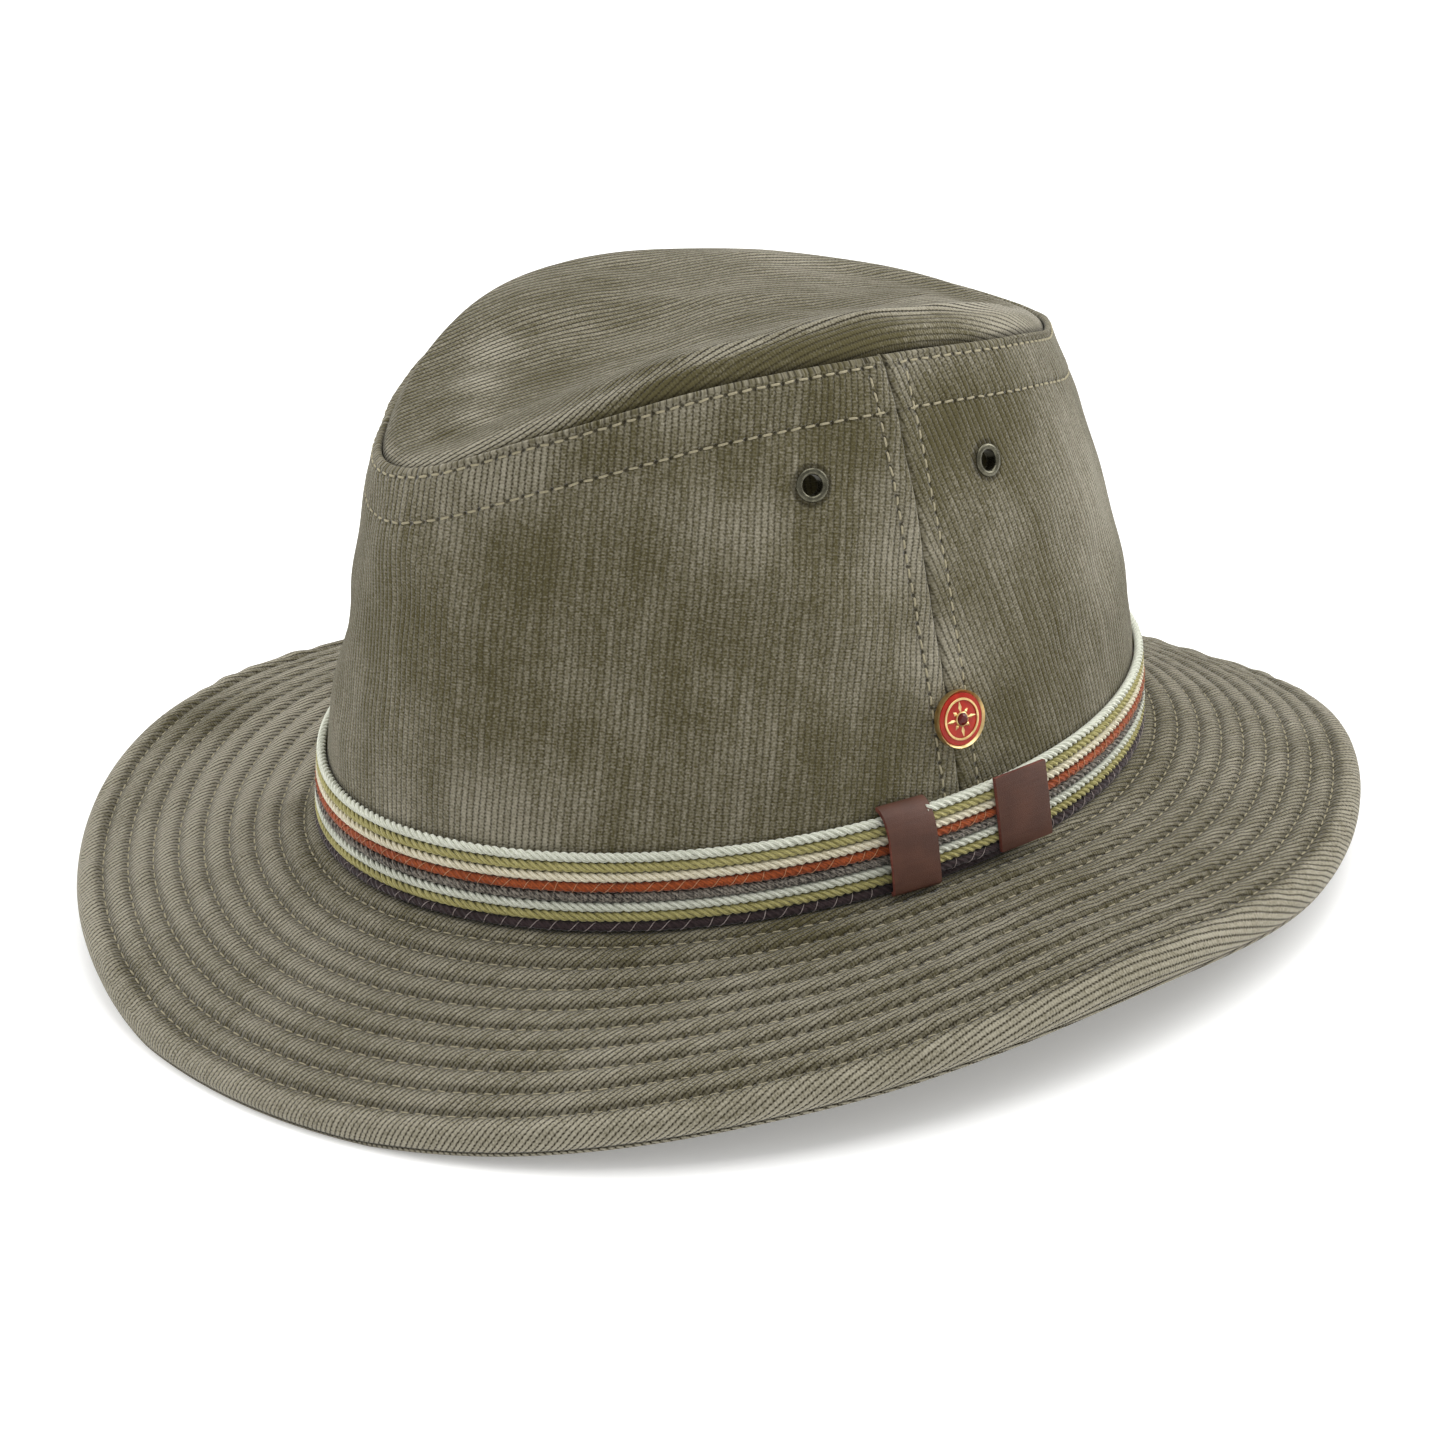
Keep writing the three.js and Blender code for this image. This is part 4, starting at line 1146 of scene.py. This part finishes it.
def leather_finish(name, dark, light, rough):
    """Smooth dyed leather with fine pores and creases across the strip; cut edges are rougher."""
    finish, shader, wire = new_finish(name, {"Specular IOR Level": 0.4})
    place = wire.place()
    pores = place.node("TexVoronoi", {"feature": "DISTANCE_TO_EDGE"}, {
        "Vector": place, "Scale": 2400}).step(0, 0.14)
    tone = place.grain(0.007, 3)
    crease = place.stretched((0.1, 0.1, 1)).grain(0.0009, 3)
    fibre = place.grain(0.0004, 3)
    shade = tone * 1.2 - 0.2 + (fibre - 0.5) * rough + (crease - 0.5) * 0.4
    feed(shader, "Base Color", shade.step(0, 1).mix(dark, light))
    feed(shader, "Roughness", tone * 0.2 + 0.42 + rough * 0.2)
    bump(shader, pores * 0.35 + crease + tone * 0.8 + fibre * rough, 0.0001 + 0.0001 * rough, 0.6)
    return finish


leather = leather_finish("brown leather", srgb(75, 45, 33), srgb(97, 61, 46), 0.1)
cut_leather = leather_finish("cut leather", srgb(84, 38, 29), srgb(146, 84, 70), 1.0)


def turn_by(angle, axis, centre=(0, 0, 0)):
    bpy.ops.transform.rotate(value=angle, orient_axis=axis, center_override=centre)


def start_profile(vertices, size, place, filled=True):
    """In edit mode: a closed outline facing along Y, this wide and high, with its middle here."""
    bpy.ops.mesh.select_all(action="DESELECT")
    bpy.ops.mesh.primitive_circle_add(vertices=vertices, radius=0.5,
                                      fill_type="NGON" if filled else "NOTHING")
    turn_by(math.pi / 2, "X")
    if vertices == 4:
        turn_by(math.pi / 4, "Y")
        size = [length * math.sqrt(2) for length in size]
    bpy.ops.transform.resize(value=(size[0], 1, size[1]), center_override=(0, 0, 0))
    bpy.ops.transform.translate(value=place)


def new_fitting(name):
    """An empty mesh in edit mode. Its X runs along the cloth, Y up it and Z out of it."""
    bpy.ops.object.select_all(action="DESELECT")
    bpy.ops.mesh.primitive_plane_add()
    fitting = bpy.context.object
    fitting.name = fitting.data.name = name
    bpy.ops.object.mode_set(mode="EDIT")
    bpy.ops.mesh.delete(type="VERT")
    return fitting


def finished(fitting, finish, place, node=None, bevel=0, smooth=40):
    """Closes and bevels a fitting, puts it in its place on the hat and gives it its finish."""
    bpy.ops.mesh.select_all(action="SELECT")
    bpy.ops.mesh.remove_doubles(threshold=0.001)
    bpy.ops.mesh.normals_make_consistent(inside=False)
    bpy.ops.object.mode_set(mode="OBJECT")
    if bevel:
        rounding = fitting.modifiers.new("edges", "BEVEL")
        rounding.width, rounding.segments, rounding.limit_method = bevel, 2, "ANGLE"
        bpy.ops.object.modifier_apply(modifier=rounding.name)
    fitting.data.transform(place @ Matrix.Scale(0.001, 4))
    fitting.data.materials.append(finish)
    fitting.data.shade_smooth()
    bpy.ops.object.shade_smooth_by_angle(angle=math.radians(smooth))
    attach(fitting, "root")
    if node:
        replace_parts(fitting, node)


def keeper(name, node, place, width, path, ends):
    """A strip pushed out from its lower end, step by step, up the band. Its sides are cut
    edges, and so are its ends where they show."""
    strip = new_fitting(name)
    path = np.array(path)
    steps = np.diff(path, axis=0)
    heading = np.arctan2(steps[:, 1], steps[:, 0])
    section = np.concatenate([[heading[0]], (heading[1:] + heading[:-1]) / 2, [heading[-1]]])
    start_profile(4, (width, LEATHER_THICK), (0, 0, 0))
    turn_by(-section[0], "X")
    bpy.ops.transform.translate(value=(0, *path[0]))
    for (up, out), point, turned in zip(steps, path[1:], np.diff(section)):
        bpy.ops.mesh.extrude_region_move(TRANSFORM_OT_translate={"value": (0, up, out)})
        turn_by(-turned, "X", (0, *point))
    finished(strip, leather, place, node, bevel=0.2, smooth=30)
    strip.data.materials.append(cut_leather)
    along, up, _ = place.to_3x3().transposed()
    for face in strip.data.polygons:
        if abs(face.normal.dot(along)) > 0.8 or (ends and abs(face.normal.dot(up)) > 0.8):
            face.material_index = 1


front_place = wall_matrix(FRONT_KEEPER, 0)
back_place = (wall_matrix(BACK_KEEPER, 0) @ Matrix.Translation(BACK_SHIFT)
              @ Matrix.Rotation(math.radians(BACK_TURN), 4, "Y"))
keeper("keeper_strip_front", "keeper_front", front_place, FRONT_WIDTH, FRONT_PATH, False)
keeper("keeper_strip_back", "keeper_back", back_place, BACK_WIDTH, BACK_PATH, True)


# THE EYELETS
# Four vent holes, each lined with a dark bronze ring: a domed flange outside, a barrel through
# the cloth and a flat flange rolled over inside.

EYELET_PARTS = (
    # corners, width and height of the outline, how far out and how high it lies
    (14, (1.5, 0.95), (3.05, 0, 0.42)),
    (4, (0.35, 2.5), (2.45, 0, -0.95)),
    (8, (1.4, 0.45), (2.95, 0, -2.0)),
)


def bronze_finish():
    """Dark brushed bronze, tarnished in small spots."""
    finish, shader, wire = new_finish("dark bronze", {"Metallic": 0.9, "Specular IOR Level": 0.5})
    place = wire.place()
    tarnish = place.grain(0.0012, 3, 0.6)
    scratches = place.stretched((1, 1, 8)).grain(0.0008, 4)
    feed(shader, "Base Color", (tarnish * 1.5 - 0.25).mix(srgb(56, 54, 44), srgb(116, 113, 96)))
    feed(shader, "Roughness", scratches * 0.2 + 0.16)
    bump(shader, scratches + tarnish, 0.00005, 0.4)
    return finish


def spun(vertices, size, place, steps):
    """In edit mode: a ring with this outline, spun round the fitting's Z."""
    start_profile(vertices, size, place, filled=False)
    bpy.ops.mesh.spin(steps=steps, angle=2 * math.pi, center=(0, 0, 0), axis=(0, 0, 1))


bronze = bronze_finish()
for name, at, height, _ in EYELETS:
    eyelet = new_fitting(name.replace("eyelet", "eyelet_ring"))
    for vertices, size, place in EYELET_PARTS:
        spun(vertices, size, place, 40)
    finished(eyelet, bronze, wall_matrix(at, height), name)


# THE BADGE
# A round pin on the left seam: a gold rim round red enamel, with a plain gold ring, a compass
# rosette and a small dark stone in the middle. A clutch holds its post inside the crown.

BADGE_AT, BADGE_HEIGHT = 90.2, 0.3
COIN_RADIUS, ENAMEL_RADIUS = 6.5, 5.85


def gold_finish():
    """Polished gold plate with fine scratches."""
    finish, shader, wire = new_finish("gold", {"Metallic": 1.0})
    place = wire.place()
    wear = place.grain(0.0015, 3, 0.6)
    scratches = place.stretched((1, 6, 1)).grain(0.0006, 4)
    feed(shader, "Base Color", (wear * 1.6 - 0.3).mix(srgb(206, 166, 104), srgb(244, 220, 162)))
    feed(shader, "Roughness", scratches * 0.2 + 0.26)
    bump(shader, scratches + wear, 0.00004, 0.3)
    return finish


def enamel_finish(name, dark, light):
    """Glassy enamel, deeper in some places than in others."""
    finish, shader, wire = new_finish(name, {
        "Specular IOR Level": 0.25, "Coat Weight": 0.1, "Coat Roughness": 0.12})
    place = wire.place()
    depth = place.grain(0.0022, 3)
    ripples = place.grain(0.001, 2)
    feed(shader, "Base Color", (depth * 1.6 - 0.3).mix(dark, light))
    feed(shader, "Roughness", ripples * 0.15 + 0.14)
    bump(shader, ripples, 0.00004, 0.25)
    return finish


def disc(vertices, radius, depth, middle):
    """In edit mode: a round plate about the fitting's Z, with its middle this high."""
    bpy.ops.mesh.primitive_cylinder_add(vertices=vertices, radius=radius, depth=depth,
                                        location=(0, 0, middle))


def stepped(fitting, inset, lift, within=99):
    """In edit mode: insets the faces on top that lie within this reach, and lifts them."""
    pick_faces(fitting, lambda middle, normal: normal.z > 0.9 and middle.length < within)
    bpy.ops.mesh.inset(thickness=inset)
    bpy.ops.transform.translate(value=(0, 0, lift))


gold = gold_finish()
badge_place = wall_matrix(BADGE_AT, BADGE_HEIGHT)

coin = new_fitting("badge_coin")
disc(64, COIN_RADIUS, 1.9, 1.25)
stepped(coin, 0.6, -0.8)
disc(16, 0.7, 2.4, -0.8)
disc(32, 3, 2, -2.9)
finished(coin, gold, badge_place, "badge_base", bevel=0.18)

enamel = new_fitting("badge_enamel_field")
disc(64, ENAMEL_RADIUS, 0.5, 1.45)
for lift in (0.12, 0.07, 0.03):
    stepped(enamel, 1.4, lift, within=2.4)
red_enamel = enamel_finish("red enamel", srgb(150, 18, 4), srgb(188, 44, 16))
finished(enamel, red_enamel, badge_place, "badge_enamel")

rosette = new_fitting("badge_rosette")
for out, size in ((4.5, (0.55, 0.34)), (1.5, (0.42, 0.6))):
    spun(8, size, (out, 0, 2.02), 56)
for point in range(8):
    length = (1.7, 2.9)[point % 2 == 0]
    bpy.ops.mesh.select_all(action="DESELECT")
    bpy.ops.mesh.primitive_cone_add(vertices=4, radius1=0.5, radius2=0, depth=1)
    bpy.ops.transform.resize(value=(0.95, length, 0.36), center_override=(0, 0, 0))
    bpy.ops.transform.translate(value=(0, 1.2 + length / 2, 2.1))
    turn_by(math.radians(45 * point), "Z")
finished(rosette, gold, badge_place, smooth=25)

stone = new_fitting("badge_stone")
disc(8, 1.4, 0.7, 2.1)
stepped(stone, 0.55, 0.28)
red_stone = enamel_finish("red stone", srgb(58, 4, 4), srgb(104, 10, 8))
finished(stone, red_stone, badge_place, smooth=10)


# THE SIZE
# What the finished hat measures beside the frame that it was built on.

boxes = {"cad": cad_box, "visual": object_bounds()}
{name: [list(corner) for corner in box] for name, box in boxes.items()}
